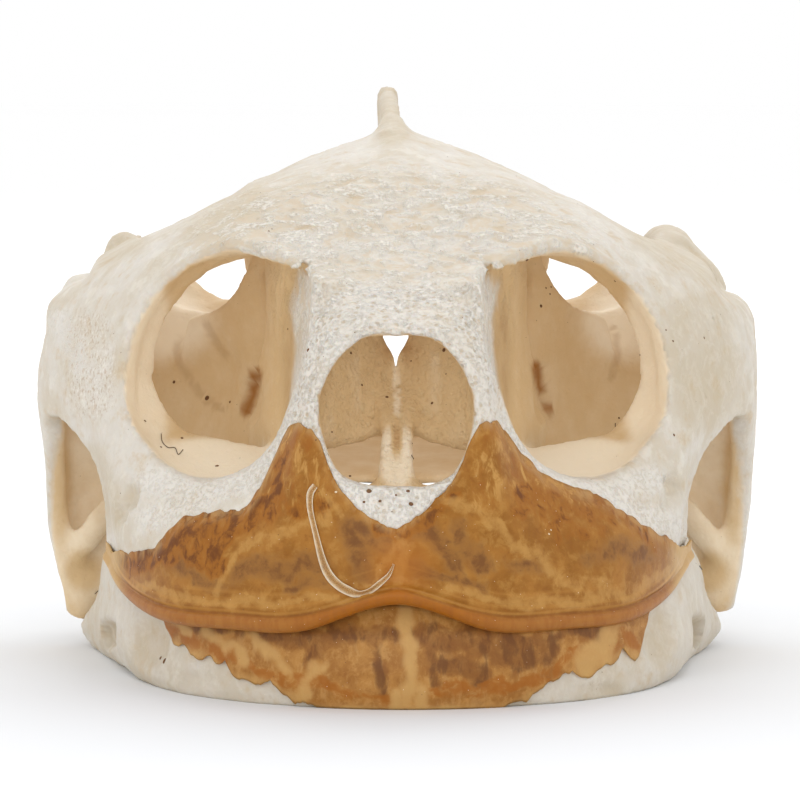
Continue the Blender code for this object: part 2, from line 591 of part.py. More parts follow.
def finish(obj):
    """Moves the piece so that the origin lies under the skull's middle, scales it to metres and smooths its shading."""
    shape = bmesh.new()
    shape.from_mesh(obj.data)
    bmesh.ops.translate(shape, vec=(0, -MIDDLE_Y, 0), verts=shape.verts)
    bmesh.ops.scale(shape, vec=(MM, MM, MM), verts=shape.verts)
    shape.to_mesh(obj.data)
    shape.free()
    obj.data.shade_smooth()


def main():
    for obj in list(bpy.data.objects):
        bpy.data.objects.remove(obj)
    upper_beak = fused("upper_beak", [upper_horn()], grain=0.4, smoothing=1)
    lower_beak = fused("lower_beak", [lower_horn()], grain=0.4, smoothing=1)
    lower_jaw = fused("lower_jaw", [lower_jaw_bar()], grain=0.5)
    bone = [face_shell(), *upper_jaw_bone(), *eye_sockets(), *nose_chamber(), *braincase(), *crest()]
    cranium = fused("cranium", bone + ear_region() + palate())
    seat = [mouth(), grown(upper_beak, GAP), grown(lower_beak, GAP), grown(lower_jaw, GAP)]
    carve(cranium, [fused("seat", seat, grain=0.4, smoothing=1)])
    carve(lower_jaw, [grown(lower_beak, GAP)])
    cranium = thinned(fused("cranium", [cranium], grain=0.6, smoothing=1), CRANIUM_TRIANGLES)
    lower_jaw = flat_below(thinned(fused("lower_jaw", [lower_jaw], grain=0.5, smoothing=1), JAW_TRIANGLES), 0)
    thinned(upper_beak, BEAK_TRIANGLES)
    flat_below(thinned(lower_beak, BEAK_TRIANGLES), 0)
    kept_clear(lower_jaw, [lower_beak], GAP * 0.75)
    kept_clear(cranium, [upper_beak, lower_beak, lower_jaw], GAP * 0.75)
    kept_clear(upper_beak, [cranium, lower_beak, lower_jaw], GAP * 0.4)
    kept_clear(lower_beak, [cranium, lower_jaw], GAP * 0.4)
    kept_clear(lower_jaw, [cranium, upper_beak], GAP * 0.4)
    for piece in (cranium, lower_jaw):
        colour(piece, "bone", (0.80, 0.70, 0.56), 0.6)
    for piece in (upper_beak, lower_beak):
        colour(piece, "horn", (0.50, 0.26, 0.07), 0.35)
    for piece in (cranium, lower_jaw, upper_beak, lower_beak):
        finish(piece)


main()
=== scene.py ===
# %% [markdown]
# # A broad-headed turtle's skull
# The real thing is two bones and two horn sheaths: the cranium, the lower jaw under it, and the beak that each of
# them wears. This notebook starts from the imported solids, which fix the size and the place of each piece, and makes
# each one again with far finer bone, true horn and the dust that such a skull collects.

import contextlib
import math

import bmesh
import bpy
import numpy as np
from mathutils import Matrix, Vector, noise
from mathutils.bvhtree import BVHTree


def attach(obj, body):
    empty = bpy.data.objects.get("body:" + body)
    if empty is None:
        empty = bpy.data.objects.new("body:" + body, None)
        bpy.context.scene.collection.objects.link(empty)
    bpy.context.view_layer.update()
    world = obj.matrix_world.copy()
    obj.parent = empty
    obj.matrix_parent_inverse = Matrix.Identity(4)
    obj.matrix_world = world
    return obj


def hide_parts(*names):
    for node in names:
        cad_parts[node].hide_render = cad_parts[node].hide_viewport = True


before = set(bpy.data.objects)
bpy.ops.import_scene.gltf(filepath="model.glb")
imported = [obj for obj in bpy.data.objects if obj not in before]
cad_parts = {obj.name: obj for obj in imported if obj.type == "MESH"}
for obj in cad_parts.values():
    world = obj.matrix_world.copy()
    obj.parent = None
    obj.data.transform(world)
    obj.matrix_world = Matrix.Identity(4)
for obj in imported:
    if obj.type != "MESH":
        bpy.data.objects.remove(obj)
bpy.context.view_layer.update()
print("packed solids:", sorted(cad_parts))

# %% [markdown]
# ## The camera
# The skull is seen straight from the front from half a metre away and a little above, so the camera is placed first.
# A long lens keeps the perspective as calm as it is there.

# %% Place the camera
LENS = 234.1
TILT = math.radians(4)
CAMERA_PLACE = (0.00029, -0.50555, 0.060)


def linked(name, data):
    """A new object in the scene, around its data: a mesh, a curve, a light or a camera."""
    obj = bpy.data.objects.new(name, data)
    bpy.context.scene.collection.objects.link(obj)
    return obj


camera = linked("camera", bpy.data.cameras.new("camera"))
camera.data.sensor_width = 36
camera.data.lens = LENS
camera.data.clip_start = 0.01
camera.location = CAMERA_PLACE
camera.rotation_euler = (math.radians(90) - TILT, 0, 0)
bpy.context.scene.camera = camera
print("camera at", tuple(round(v, 4) for v in camera.location))

# %% [markdown]
# ## Working in millimetres
# Bone is easiest to shape at its own scale, so every number below is in millimetres, with the snout near Y = -40 and
# the crest's tip near Y = 51. A finished piece is moved back by half the difference and scaled to metres, once.

# %% Sizes and fineness
MM = 0.001
MIDDLE_Y = 5.55
FACE_BONE = 2.3
HORN = 1.4
EASE = 0.14
BONE_GRAIN = 0.42
BONE_TRIANGLES = 190000
print("bone is fused at", BONE_GRAIN, "mm")

# %% Curves through points
def spline(points, count, across_middle=False):
    """A smooth curve through rows of numbers, sampled at even steps. It may run on evenly into its mirror image."""
    points = np.asarray(points, float)
    mirror = np.append(-1, np.ones(points.shape[-1] - 1))
    before = points[1] * mirror if across_middle else 2 * points[0] - points[1]
    padded = np.concatenate([[before], points, [2 * points[-1] - points[-2]]])
    place = np.linspace(0, len(points) - 1, count)
    span = np.minimum(place.astype(int), len(points) - 2)
    f = (place - span).reshape(-1, *[1] * (points.ndim - 1))
    a, b, c, d = (padded[span + k] for k in range(4))
    return 0.5 * (2 * b + (c - a) * f + (2 * a - 5 * b + 4 * c - d) * f**2 + (3 * b - a - 3 * c + d) * f**3)


def closed_spline(points, steps):
    """A smooth loop through the points, with that many samples from each to the next."""
    points = np.asarray(points, float)
    wrapped = np.concatenate([points[-2:], points, points[:3]])
    whole = spline(wrapped, steps * (len(wrapped) - 1) + 1)
    return whole[2 * steps : (2 + len(points)) * steps]


def unit(vectors):
    return vectors / np.linalg.norm(vectors, axis=-1, keepdims=True)


def smooth_step(value, low, high):
    """0 below low, 1 above high, and a soft slope between, for numbers and arrays."""
    t = np.clip((np.asarray(value, float) - low) / (high - low), 0, 1)
    return t * t * (3 - 2 * t)


# %% Meshes from points
def new_object(name, points, faces):
    mesh = bpy.data.meshes.new(name)
    mesh.from_pydata(np.reshape(points, (-1, 3)).tolist(), [], faces)
    return linked(name, mesh)


@contextlib.contextmanager
def edited(mesh):
    """Opens a mesh for editing, and writes it back when the block ends."""
    shape = bmesh.new()
    shape.from_mesh(mesh)
    yield shape
    shape.to_mesh(mesh)
    shape.free()


def settled(obj):
    """The object with its modifiers turned into plain mesh."""
    graph = bpy.context.evaluated_depsgraph_get()
    mesh = bpy.data.meshes.new_from_object(obj.evaluated_get(graph))
    if obj.type == "MESH":
        obj.modifiers.clear()
        obj.data = mesh
        return obj
    plain = linked(obj.name, mesh)
    bpy.data.objects.remove(obj)
    return plain


def modified(obj, kind, **settings):
    modifier = obj.modifiers.new(kind, kind)
    for key, value in settings.items():
        setattr(modifier, key, value)
    return settled(obj)


def facing_out(obj):
    with edited(obj.data) as shape:
        bmesh.ops.recalc_face_normals(shape, faces=shape.faces)
    return obj


def quads(rows, columns, closed=False):
    """The faces of a grid of points, whose rows may close into rings."""
    return [
        (
            r * columns + c, r * columns + (c + 1) % columns, (r + 1) * columns + (c + 1) % columns,
            (r + 1) * columns + c,
        )
        for r in range(rows - 1)
        for c in range(columns if closed else columns - 1)
    ]


def tube(name, rings):
    """A closed solid through a row of rings of points, with both ends capped."""
    rings = np.asarray(rings, float)
    rows, columns = rings.shape[:2]
    faces = quads(rows, columns, closed=True)
    faces.append(tuple(range(columns)))
    faces.append(tuple((rows - 1) * columns + c for c in range(columns)))
    return facing_out(new_object(name, rings, faces))


def limb(name, path, sizes, up=(0, 0, 1), sides=32, steps=30):
    """A bar with round ends along a curved path. Each size is its half width across and its half height."""
    line, half = spline(path, steps), spline(sizes, steps)
    along = unit(np.gradient(line, axis=0))
    ends = ((0.85, 0.5), (0.45, 0.9))
    stations = [(line[0] - along[0] * far * min(half[0]), half[0] * share, along[0]) for share, far in ends[::-1]]
    stations += list(zip(line, half, along))
    stations += [(line[-1] + along[-1] * far * min(half[-1]), half[-1] * share, along[-1]) for share, far in ends]
    turn = np.linspace(0, 2 * math.pi, sides, endpoint=False)
    rings = []
    for centre, (wide, high), forward in stations:
        side = unit(np.cross(forward, up))
        top = np.cross(side, forward)
        rings.append(centre + np.outer(np.cos(turn) * wide, side) + np.outer(np.sin(turn) * high, top))
    return tube(name, rings)


def ball(name, centre, radii):
    mesh = bpy.data.meshes.new(name)
    with edited(mesh) as shape:
        bmesh.ops.create_icosphere(shape, subdivisions=5, radius=1)
        bmesh.ops.scale(shape, vec=radii, verts=shape.verts)
        bmesh.ops.translate(shape, vec=centre, verts=shape.verts)
    return linked(name, mesh)


def sheet(name, rows, thickness, fine=(30, 24), offset=0.0):
    """A curved plate through rows of points. Its thickness lies to both sides, or wholly to one for offset 1 or -1."""
    grid = spline(np.swapaxes(spline(rows, fine[0]), 0, 1), fine[1])
    obj = new_object(name, grid, quads(*grid.shape[:2]))
    return facing_out(modified(obj, "SOLIDIFY", thickness=thickness, offset=offset, use_even_offset=True))


def prism(name, outline, low, high, axis, steps=8):
    """A cutter: a smooth outline carried straight along one axis (0, 1 or 2)."""
    loop = closed_spline(outline, steps)
    return tube(name, [np.insert(loop, axis, level, axis=1) for level in (low, high)])


def points_of(obj):
    points = np.empty(len(obj.data.vertices) * 3, np.float32)
    obj.data.vertices.foreach_get("co", points)
    return points.reshape(-1, 3).astype(float)


def move_points(obj, points):
    obj.data.vertices.foreach_set("co", points.astype(np.float32).ravel())
    obj.data.update()


def shifted(obj, places):
    """Moves a piece a little sideways and upwards around (x, z) places, each with its reach and its shift."""
    points = points_of(obj)
    start = points.copy()
    for x, z, reach_x, reach_z, right, up in places:
        far = np.hypot((start[:, 0] - x) / reach_x, (start[:, 2] - z) / reach_z)
        share = 1 - smooth_step(far, 0, 1)
        points[:, 0] += right * share
        points[:, 2] += up * share
    move_points(obj, points)


# %% Mirror, join, cut and fuse
def copied(obj):
    other = obj.copy()
    other.data = obj.data.copy()
    bpy.context.scene.collection.objects.link(other)
    return other


def pair(obj):
    """The piece and its mirror image on the other side of the head."""
    other = copied(obj)
    with edited(other.data) as shape:
        bmesh.ops.scale(shape, vec=(-1, 1, 1), verts=shape.verts)
        bmesh.ops.reverse_faces(shape, faces=shape.faces)
    return [obj, other]


def joined(name, pieces):
    mesh = bpy.data.meshes.new(name)
    with edited(mesh) as shape:
        for piece in pieces:
            shape.from_mesh(piece.data)
            bpy.data.objects.remove(piece)
    return linked(name, mesh)


def carve(obj, cutters):
    for cutter in cutters:
        modified(obj, "BOOLEAN", operation="DIFFERENCE", object=cutter)
        bpy.data.objects.remove(cutter)
    return obj


def one_body(obj):
    """Drops the crumbs that a cut can leave beside the piece."""
    with edited(obj.data) as shape:
        left, found = set(shape.verts), []
        while left:
            body = [left.pop()]
            for vert in body:
                near = {edge.other_vert(vert) for edge in vert.link_edges} & left
                left -= near
                body.extend(near)
            found.append(body)
        for crumb in sorted(found, key=len)[:-1]:
            bmesh.ops.delete(shape, geom=crumb, context="VERTS")
    return obj


def fused(name, pieces, grain, smoothing):
    """Pieces that run into each other, grown into one skin with soft corners."""
    obj = joined(name, pieces)
    modified(obj, "REMESH", mode="VOXEL", voxel_size=grain)
    if smoothing:
        modified(obj, "SMOOTH", factor=0.5, iterations=smoothing)
    return one_body(obj)


def grown(obj, by):
    """A copy that stands off the piece all round, to cut its seat in the bone."""
    cutter = modified(copied(obj), "REMESH", mode="VOXEL", voxel_size=0.4)
    modified(cutter, "SMOOTH", factor=0.5, iterations=1)
    return modified(cutter, "DISPLACE", strength=by, mid_level=0)


# %% [markdown]
# ## The outer skin of the cranium
# A skull is a box of thin plates, all grown together. The outer one is a smooth skin through nine ribs, each from the
# ridge of the head down to the jaw. It gets its thickness inwards, and then the openings are cut: eyes, nose, the
# notch under each cheek, the cup of each ear and the two bays at the back of the roof.

# %% Ribs of the face and roof
RIBS = [
    [
        (0, -36.0, 33.3), (0, -37.2, 30.5), (0, -38.2, 27), (0, -39, 23), (0, -39.6, 19), (0, -39.9, 14.5),
        (0, -39.6, 9.8),
    ],
    [
        (0, -33, 34.9), (3.8, -34.8, 33.8), (6.7, -35.6, 30.5), (7.7, -36, 26), (8.0, -36.6, 21), (8.2, -37.8, 14.5),
        (8.6, -38.0, 7.2),
    ],
    [
        (0, -28, 37.2), (7.2, -27.8, 37.2), (9.3, -28.8, 34.2), (9.9, -30.6, 28), (11.2, -31.8, 22),
        (13.5, -34, 14.5), (15, -34.2, 6.9),
    ],
    [
        (0, -20.5, 40.0), (8.8, -21.2, 39.8), (14.6, -18.4, 40.5), (18.0, -18.0, 32), (18.8, -22.2, 22),
        (20.3, -27.4, 14.5), (21.2, -27.8, 6.9),
    ],
    [
        (0, -10.5, 43.8), (10, -13, 43.2), (18.6, -12.5, 40.6), (24.8, -12, 33.5), (26.0, -13, 25.0),
        (26.2, -17, 15.5), (25.0, -18.4, 8.2),
    ],
    [
        (0, -1, 47.2), (11.5, -3, 45.6), (21.5, -3, 41.6), (28.8, -3.5, 35.2), (30.6, -4.5, 26.5), (28.2, -6.8, 18.0),
        (27.4, -8.2, 10.8),
    ],
    [(0, 8, 50.0), (11.5, 7, 46.5), (22.5, 7, 41.3), (31.5, 7, 36.0), (34.7, 7, 28), (34.4, 6.6, 18), (32.8, 7, 4)],
    [(0, 17, 51.0), (11, 17, 47.3), (22, 18, 41.7), (31, 19, 37.0), (35, 20, 28.5), (35, 20, 17), (33.4, 17, 4.5)],
    [(0, 27, 51.0), (10, 28, 46.7), (20, 29, 41.7), (28.5, 31, 35.5), (31.8, 33, 27), (31.4, 32, 17), (29.5, 28, 8)],
]
ORBIT_RIM = [
    (7.9, 38.7), (8.0, 32.5), (9.4, 27.7), (11.2, 23.4), (13.9, 20.7), (17.7, 19.5),
    (21.6, 20.8), (25.0, 24.8), (25.4, 29.7), (23.9, 34.0), (19.8, 38.5), (14.9, 40.7), (10.1, 40.2),
]  # fmt: skip
ORBIT_CENTRE = (17.0, 29.5)
NOSTRIL_RIM = [
    (0, 33.2), (3.3, 32.9), (5.8, 30.4), (6.9, 27.2), (6.4, 24.0), (5.2, 21.3), (2.9, 20.1),
    (0, 20.1), (-2.9, 20.1), (-5.2, 21.3), (-6.4, 24.0), (-6.9, 27.2), (-5.8, 30.4), (-3.3, 32.9),
]  # fmt: skip
TEMPLE_NOTCH = [
    (2.0, 62), (2.0, 28), (5.5, 19), (12.5, 12), (20, 9.5), (24.4, 12), (25.4, 20), (24, 30), (20, 42), (18, 62),
]  # fmt: skip
CHEEK_NOTCH = [(-6.6, -6), (-6.8, 12), (-6.0, 17.4), (-2.0, 21.8), (5.0, 23), (8.8, 17), (9.6, 8), (9.6, -6)]
print(len(RIBS), "ribs of", len(RIBS[0]), "points")

# %% Cut the skin's openings
def orbit_cutter():
    """The eye's opening. It narrows inwards on its outer side, where the bar behind the eye is deep."""
    rim = closed_spline(ORBIT_RIM, 10)
    middle = np.array(ORBIT_CENTRE)
    ragged = np.random.default_rng(5).normal(0, 0.16, rim.shape)
    corner = np.clip(1 - np.linalg.norm(rim - (8.4, 39.0), axis=1) / 4.0, 0, 1)[:, None]
    rim = rim + ragged * corner * 1.6
    outer_side = np.clip((rim[:, 0] - middle[0]) / 8, 0, 1)[:, None]
    high_side = np.clip((rim[:, 1] - middle[1]) / 11, 0, 1)[:, None]
    rings = []
    for y, shrink in ((-60, 0), (-13.5, 0), (-12, 0.1), (-7.5, 1), (2, 1.3)):
        inward = np.hstack([outer_side * 2.9, high_side * 1.4]) * shrink
        rings.append(np.insert(rim - inward, 1, y, axis=1))
    return tube("eye_cut", rings)


def face_shell():
    grid = spline(np.swapaxes(spline(RIBS, 90, across_middle=True), 0, 1), 80)
    half = new_object("face", grid, quads(*grid.shape[:2]))
    shell = modified(half, "MIRROR", use_axis=(True, False, False), merge_threshold=0.05)
    facing_out(modified(shell, "SOLIDIFY", thickness=FACE_BONE, offset=1, use_even_offset=True))
    eye, temple = orbit_cutter(), prism("temple_cut", TEMPLE_NOTCH, 33, 70, 2)
    cheek = prism("cheek_cut", CHEEK_NOTCH, 20, 45, 0)
    ear = ball("ear_cut", (36, 20.5, 21.5), (7.5, 8.2, 9.2))
    cutters = [piece for cutter in (eye, temple, cheek, ear) for piece in pair(cutter)]
    return carve(shell, cutters + [prism("nostril_cut", NOSTRIL_RIM, -60, -20, 1)])


skin = face_shell()
print("skin:", len(skin.data.polygons), "faces")

# %% [markdown]
# ## Inside the cranium
# Behind the skin stand the plates and struts that show through the openings: the lining of each eye socket, the wall
# between the sockets, the back of the nose with its slit and pillar, the tunnel for the brain, the ear capsules, the
# pillars that carry the jaw joint, the palate, and the crest that the neck muscles pull on. Each is a bent sheet or a
# bar of changing width, and they run into each other on purpose, because they are fused afterwards.

# %% Eye sockets
SOCKET = [
    [(8.8, -23.2, 38.0), (10.2, -17, 39.4), (11.6, -10, 39.6)],
    [(14.9, -17.2, 39.9), (15.0, -13.4, 39.6), (15.0, -8.5, 38.7)],
    [(19.8, -14.2, 38.0), (19.2, -11.4, 38.0), (18.1, -8, 37.3)],
    [(23.9, -12.0, 33.9), (22.9, -9.8, 34.3), (21.4, -7.2, 33.6)],
    [(25.6, -12.0, 29.7), (24.4, -9.5, 29.4), (22.9, -7, 29.1)],
    [(25.2, -12.2, 24.8), (23.9, -9.8, 25.2), (22.3, -7.4, 26.2)],
    [(21.8, -15.6, 20.5), (21.2, -12.0, 21.2), (20.2, -9, 23.2)],
    [(17.7, -19.7, 19.2), (17.6, -15.0, 19.8), (17.4, -9.6, 22.4)],
    [(13.9, -23.7, 20.0), (13.9, -17.0, 19.8), (13.9, -10.5, 21.8)],
    [(11.2, -26.6, 20.6), (10.8, -19.0, 20.0), (10.6, -11.0, 21.0)],
    [(7.0, -30.0, 20.2), (6.4, -22.0, 20.0), (6.0, -11.0, 20.6)],
]


def eye_sockets():
    lining = sheet("socket", SOCKET, 1.3, fine=(90, 24), offset=1)
    inner_wall = sheet(
        "inner_wall",
        [
            [(6.6, -26.4, 36.4), (6.9, -28.0, 33.4), (8.0, -28.0, 27.5), (9.8, -26.4, 22.4), (10.6, -25.4, 20.0)],
            [(7.4, -21, 38.4), (7.7, -21, 33.5), (8.5, -21, 27.5), (9.6, -20, 23), (10.0, -20, 20.0)],
            [(9.8, -13, 41.2), (9.8, -13, 34), (9.9, -12, 28), (10.6, -12, 23.5), (10.8, -12, 20.4)],
            [(12.0, -5, 43.6), (11.8, -4.6, 36), (12.2, -3.6, 30.4), (13.8, -2.4, 25.2), (13.6, -3.0, 20.4)],
        ],
        1.6,
        fine=(36, 36),
    )
    return pair(lining) + pair(inner_wall)


# %% Upper jaw bone and nose
def upper_jaw_bone():
    """The thick arch of bone that carries the upper beak."""
    arch = [
        (0, -33.2, 16.4), (6.4, -32.2, 16.6), (12.0, -28.4, 16.6), (17.0, -21.6, 16.4), (21.2, -14.5, 16.0),
        (24.4, -8, 15.4),
    ]
    sizes = [(4.6, 3.0), (4.6, 3.2), (4.2, 3.2), (4.0, 3.2), (3.4, 3.2), (2.0, 3.4)]
    return pair(limb("jaw_arch", arch, sizes, steps=40))


def nose_chamber():
    """The back wall of the nose and the pillar that props it on the palate. The slit at its top is cut later."""
    wall = sheet(
        "nose_wall",
        [
            [(x, y - 0.3 * k, z) for k, z in enumerate((38.0, 34.5, 30.0, 26.5, 23.4))]
            for x, y in (
                (-7.6, -30.0), (-5.4, -27.2), (-2.8, -24.8), (0, -23.2), (2.8, -24.8), (5.4, -27.2), (7.6, -30.0),
            )
        ],
        1.3,
        fine=(60, 40),
    )
    legs = [
        limb(
            "leg", [(1.5, -25.2, 27.6), (1.2, -27.6, 25.2), (1.0, -30.6, 22.2), (1.15, -33.6, 19.6)],
            [(0.4, 0.6), (0.45, 0.8), (0.55, 0.9), (0.8, 1.0)], up=(0, 1, 0), steps=24,
        ),
        limb(
            "web", [(0, -24.6, 28.0), (0, -27.6, 25.2), (0, -30.8, 21.8), (0, -34.0, 19.0)],
            [(1.1, 0.4), (0.9, 0.4), (0.9, 0.5), (1.2, 0.9)], up=(0, 1, 0), steps=24,
        ),
    ]
    keel = limb("keel", [(0, -33, 18.4), (0, -22, 18.8), (0, -4, 19.0)], [(1.2, 1.2), (1.2, 1.2), (4.0, 1.6)])
    ledge = limb(
        "ledge", [(-8.8, -30.4, 23.0), (-4, -27.4, 23.6), (0, -26.4, 25.0), (4, -27.4, 23.6), (8.8, -30.4, 23.0)],
        [(0.8, 0.9)] * 5,
    )
    floor_line = ((-24.8, 19.35), (-19, 20.4), (-13, 21.5), (-7, 22.4))
    rows = [[(x, y, z + 0.004 * x * x) for y, z in floor_line] for x in (-9.4, -5, 0, 5, 9.4)]
    return [wall, *pair(legs[0]), legs[1], keel, ledge, sheet("nose_floor", rows, 1.0)]


def nose_slit():
    """The cleft at the top of the nose's back wall, wide at the top and closing to a seam."""
    half = [(1.3, 34.6), (1.15, 32.4), (0.82, 31.7), (0.46, 31.15), (0.2, 30.6), (0.05, 29.8)]
    gap = half + [(-x, z) for x, z in half[::-1]]
    return tube("slit", [[(x - 0.1, y, z) for x, z in gap] for y in (-27, -15)])


# %% Braincase and crest
def braincase():
    """The tall tunnel for the brain, open to the nose in front and at the neck behind."""
    path = [(0, -9, 34.6), (0, 0, 34.2), (0, 11, 33.6), (0, 21, 31.2), (0, 29, 29.3)]
    outside = [(10.6, 7.4), (11.6, 11.2), (12.4, 13.2), (10.0, 10.4), (7.6, 7.2)]
    inside = [(8.8, 6.4), (9.8, 9.6), (10.0, 10.6), (7.4, 7.6), (4.7, 4.8)]
    tunnel = limb("tunnel", path, outside, sides=48)
    hollow_path = [(0, -16, 34.8), *path, (0, 38, 28.4)]
    hollow = limb("hollow", hollow_path, [inside[0], *inside, inside[-1]], sides=48, steps=36)
    shoulder = limb(
        "shoulder", [(11.5, 0, 41.0), (12.6, 9, 39.2), (12.4, 17, 37.0), (9.5, 23, 34.5)],
        [(2.0, 3.0), (2.4, 3.0), (2.2, 2.6), (1.4, 1.8)],
    )
    sail = sheet(
        "sail",
        [
            [(13.2, 0.5, 40.5), (14.2, 1.5, 37.6), (16.6, 4.0, 34.3), (20.0, 9.0, 32.6)],
            [(12.4, 0.0, 36.0), (14.0, 1.5, 33.5), (17.0, 5.5, 31.0), (21.0, 10.0, 29.0)],
            [(12.0, 0.0, 28.0), (14.2, 2.5, 27.0), (17.5, 7.0, 25.5), (21.5, 10.6, 24.0)],
            [(13.0, 0.5, 20.0), (15.2, 3.5, 19.6), (18.5, 7.5, 18.8), (22.0, 10.8, 18.0)],
        ],
        1.6,
        fine=(40, 40),
    )
    base = limb(
        "base", [(0, -7, 19.2), (0, 6, 19.0), (0, 19, 18.8), (0, 29, 21.6)],
        [(9.0, 1.7), (9.0, 2.0), (8, 2.8), (5.5, 3.0)],
    )
    condyle = ball("condyle", (0, 31.4, 22.6), (3.2, 3.2, 2.7))
    return [carve(tunnel, [hollow]), *pair(shoulder), *pair(sail), base, condyle]


def crest():
    """The blade that runs back from the top of the head, leaning a little to one side."""
    blade = limb(
        "crest",
        [(-0.2, 8, 47.0), (-0.5, 18, 45.6), (-0.7, 28, 45.0), (-0.8, 38, 48.2), (-0.95, 49.2, 52.4)],
        [(1.8, 2.6), (1.3, 5.2), (1.0, 7.2), (0.95, 4.8), (1.05, 2.2)],
        steps=40,
    )
    ridge = limb(
        "crest_ridge", [(-0.3, 12, 50.0), (-0.6, 24, 51.6), (-0.8, 36, 52.7), (-1.0, 49.6, 53.7)],
        [(1.9, 1.0), (1.2, 0.9), (1.05, 0.9), (1.05, 0.95)],
    )  # fmt: skip
    peg = limb(
        "crest_tip", [(-0.9, 48.4, 47.6), (-0.95, 48.8, 50.4), (-1.0, 49.0, 53.7)],
        [(1.3, 1.5), (1.25, 1.5), (1.3, 1.5)], up=(0, 1, 0),
    )
    return [blade, ridge, peg]


# %% Ear region, jaw pillars and palate
def ear_region():
    """The bone between the braincase and each cheek: front wall, ear capsule, jaw pillar and cup of the ear."""
    wall = sheet(
        "front_wall",
        [
            [(9.5, 5.5, 37.0), (10.5, 6.5, 31.0), (11.5, 6.0, 25.0), (11.0, 4.5, 19.6)],
            [(14.0, 11.5, 33.0), (15.5, 9.2, 29.0), (16.0, 9.0, 23.0), (15.5, 8.6, 17.6)],
            [(20.0, 14.5, 32.5), (21.5, 11.6, 28.0), (21.6, 11.0, 21.5), (21.5, 11.0, 15.4)],
            [(27.0, 15.5, 35.0), (27.6, 13.4, 28.0), (28.0, 12.6, 20.0), (28.0, 12.4, 12.0)],
        ],
        2.4,
    )
    capsule = limb(
        "capsule", [(7, 17.5, 30.5), (17, 18.5, 29.0), (27.5, 20.5, 31.0)], [(6.5, 5.4), (6.0, 4.6), (6.5, 6.0)],
    )
    brow = limb(
        "brow", [(14.5, 17, 32.6), (18.5, 18.5, 32.8), (23, 20, 35.8), (27.5, 22, 38.6)],
        [(2.6, 1.4), (2.4, 1.4), (2.4, 1.6), (2.2, 1.8)],
    )
    strut = limb("strut", [(7, 25, 27.5), (17, 27.5, 28.6), (28, 30.5, 30.5)], [(3.0, 3.2), (2.6, 2.6), (3.0, 3.4)])
    front = sheet(
        "jaw_front",
        [
            [(22.4, 13.6, 27), (22.6, 12.4, 20), (24.0, 11.4, 12.5), (26.6, 11.2, 5.6)],
            [(26.6, 11.0, 28), (27.0, 9.4, 20), (27.6, 9.2, 12.5), (28.4, 9.6, 4.8)],
            [(30.4, 11.0, 29), (30.6, 9.8, 20), (30.2, 9.6, 12.5), (30.0, 9.8, 4.6)],
            [(32.6, 13.6, 29), (32.7, 13.4, 20), (32.2, 12.6, 12.0), (31.4, 11.2, 4.8)],
            [(34.4, 10.6, 30), (34.5, 10.6, 20), (33.9, 10.6, 12.0), (32.4, 11.0, 5.2)],
        ],
        2.4,
    )
    pillar = limb(
        "jaw_pillar", [(26.6, 17.5, 28), (27.2, 16.0, 18), (28.6, 14.2, 11), (29.6, 13.0, 6.8)],
        [(4.4, 3.4), (4.2, 3.0), (3.9, 2.8), (3.6, 2.4)], up=(0, 1, 0),
    )  # fmt: skip
    hinge = limb("hinge", [(26.8, 12.4, 6.4), (31.4, 12.0, 6.0)], [(2.6, 2.5), (2.6, 2.5)], steps=6)
    cup = ball("cup", (31.2, 20.5, 22), (6.2, 10.0, 10.8))
    for piece in (front, pillar, cup):
        carve(piece, [ball("cup_hollow", (36.6, 20.8, 21.8), (9.4, 7.5, 8.5))])
    channel = limb(
        "channel", [(32.3, 9.6, 24), (32.6, 9.8, 18), (32.4, 10, 12)], [(1.0, 1.8), (1.0, 2.2), (0.8, 1.8)],
        up=(0, 1, 0),
    )
    carve(front, [channel])
    carve(front, [ball("front_hollow", (30.6, 6.6, 7.0), (2.8, 3.6, 2.6))])
    ridge = limb(
        "front_ridge", [(26.8, 10.4, 15.4), (28.9, 9.4, 12.8), (31.0, 9.6, 10.0), (33.2, 11.4, 7.6)],
        [(1.3, 0.7), (1.4, 0.9), (1.3, 0.9), (0.9, 0.9)], up=(0, 1, 0),
    )
    horns = []
    for side, drop in ((-1, 1.5), (1, 0)):
        path = [(27.2, 20, 38.0 - drop), (27.2, 27, 38.3 - drop), (26.6, 33, 36.4 - drop), (26.0, 38, 32.0)]
        flank = [(30.4, 20, 35.6 - drop), (30.6, 26, 35.7 - drop), (28.6, 33, 33.6 - drop), (26.6, 37.5, 31.6)]
        sizes = [(2.6, 2.6), (2.8, 2.7), (2.2, 2.3), (1.2, 1.5)]
        horns += [limb("ear_horn", [(x * side, y, z) for x, y, z in line], sizes) for line in (path, flank)]
    parts = (wall, capsule, brow, strut, front, pillar, hinge, cup, ridge)
    return horns + [piece for part in parts for piece in pair(part)]


def palate():
    """The wings of bone under the braincase, out to the jaw pillars."""
    wing = sheet(
        "wing",
        [
            [(6.0, -6, 19.4), (6.0, 4, 19.0), (6.0, 15, 18.0)],
            [(12.0, -5.5, 19.4), (11.5, 3, 18.4), (12.0, 15, 17.0)],
            [(15.4, -3.0, 19.4), (17.0, 6.5, 16.4), (19.0, 15, 15.0)],
            [(19.5, 6.0, 17.0), (24.0, 10.0, 12.4), (27.0, 14.5, 9.6)],
        ],
        2.2,
    )
    return pair(wing)


bone = [skin, *upper_jaw_bone(), *eye_sockets(), *nose_chamber(), *braincase(), *crest(), *ear_region(), *palate()]
print(len(bone), "pieces of bone, ready to fuse")

# %% [markdown]
# ## The beaks
# Horn is a skin that grew over the bone. The upper beak follows the face from a wavy top edge down to the rolled lip
# that does the biting, then turns in under the palate. Its two halves differ: the top edge stands higher on the
# animal's left. The sheath is lofted through many stations along the jaw, and each station knows how high it stands
# above the lip and how far it is from the top edge. The colours use both numbers later.

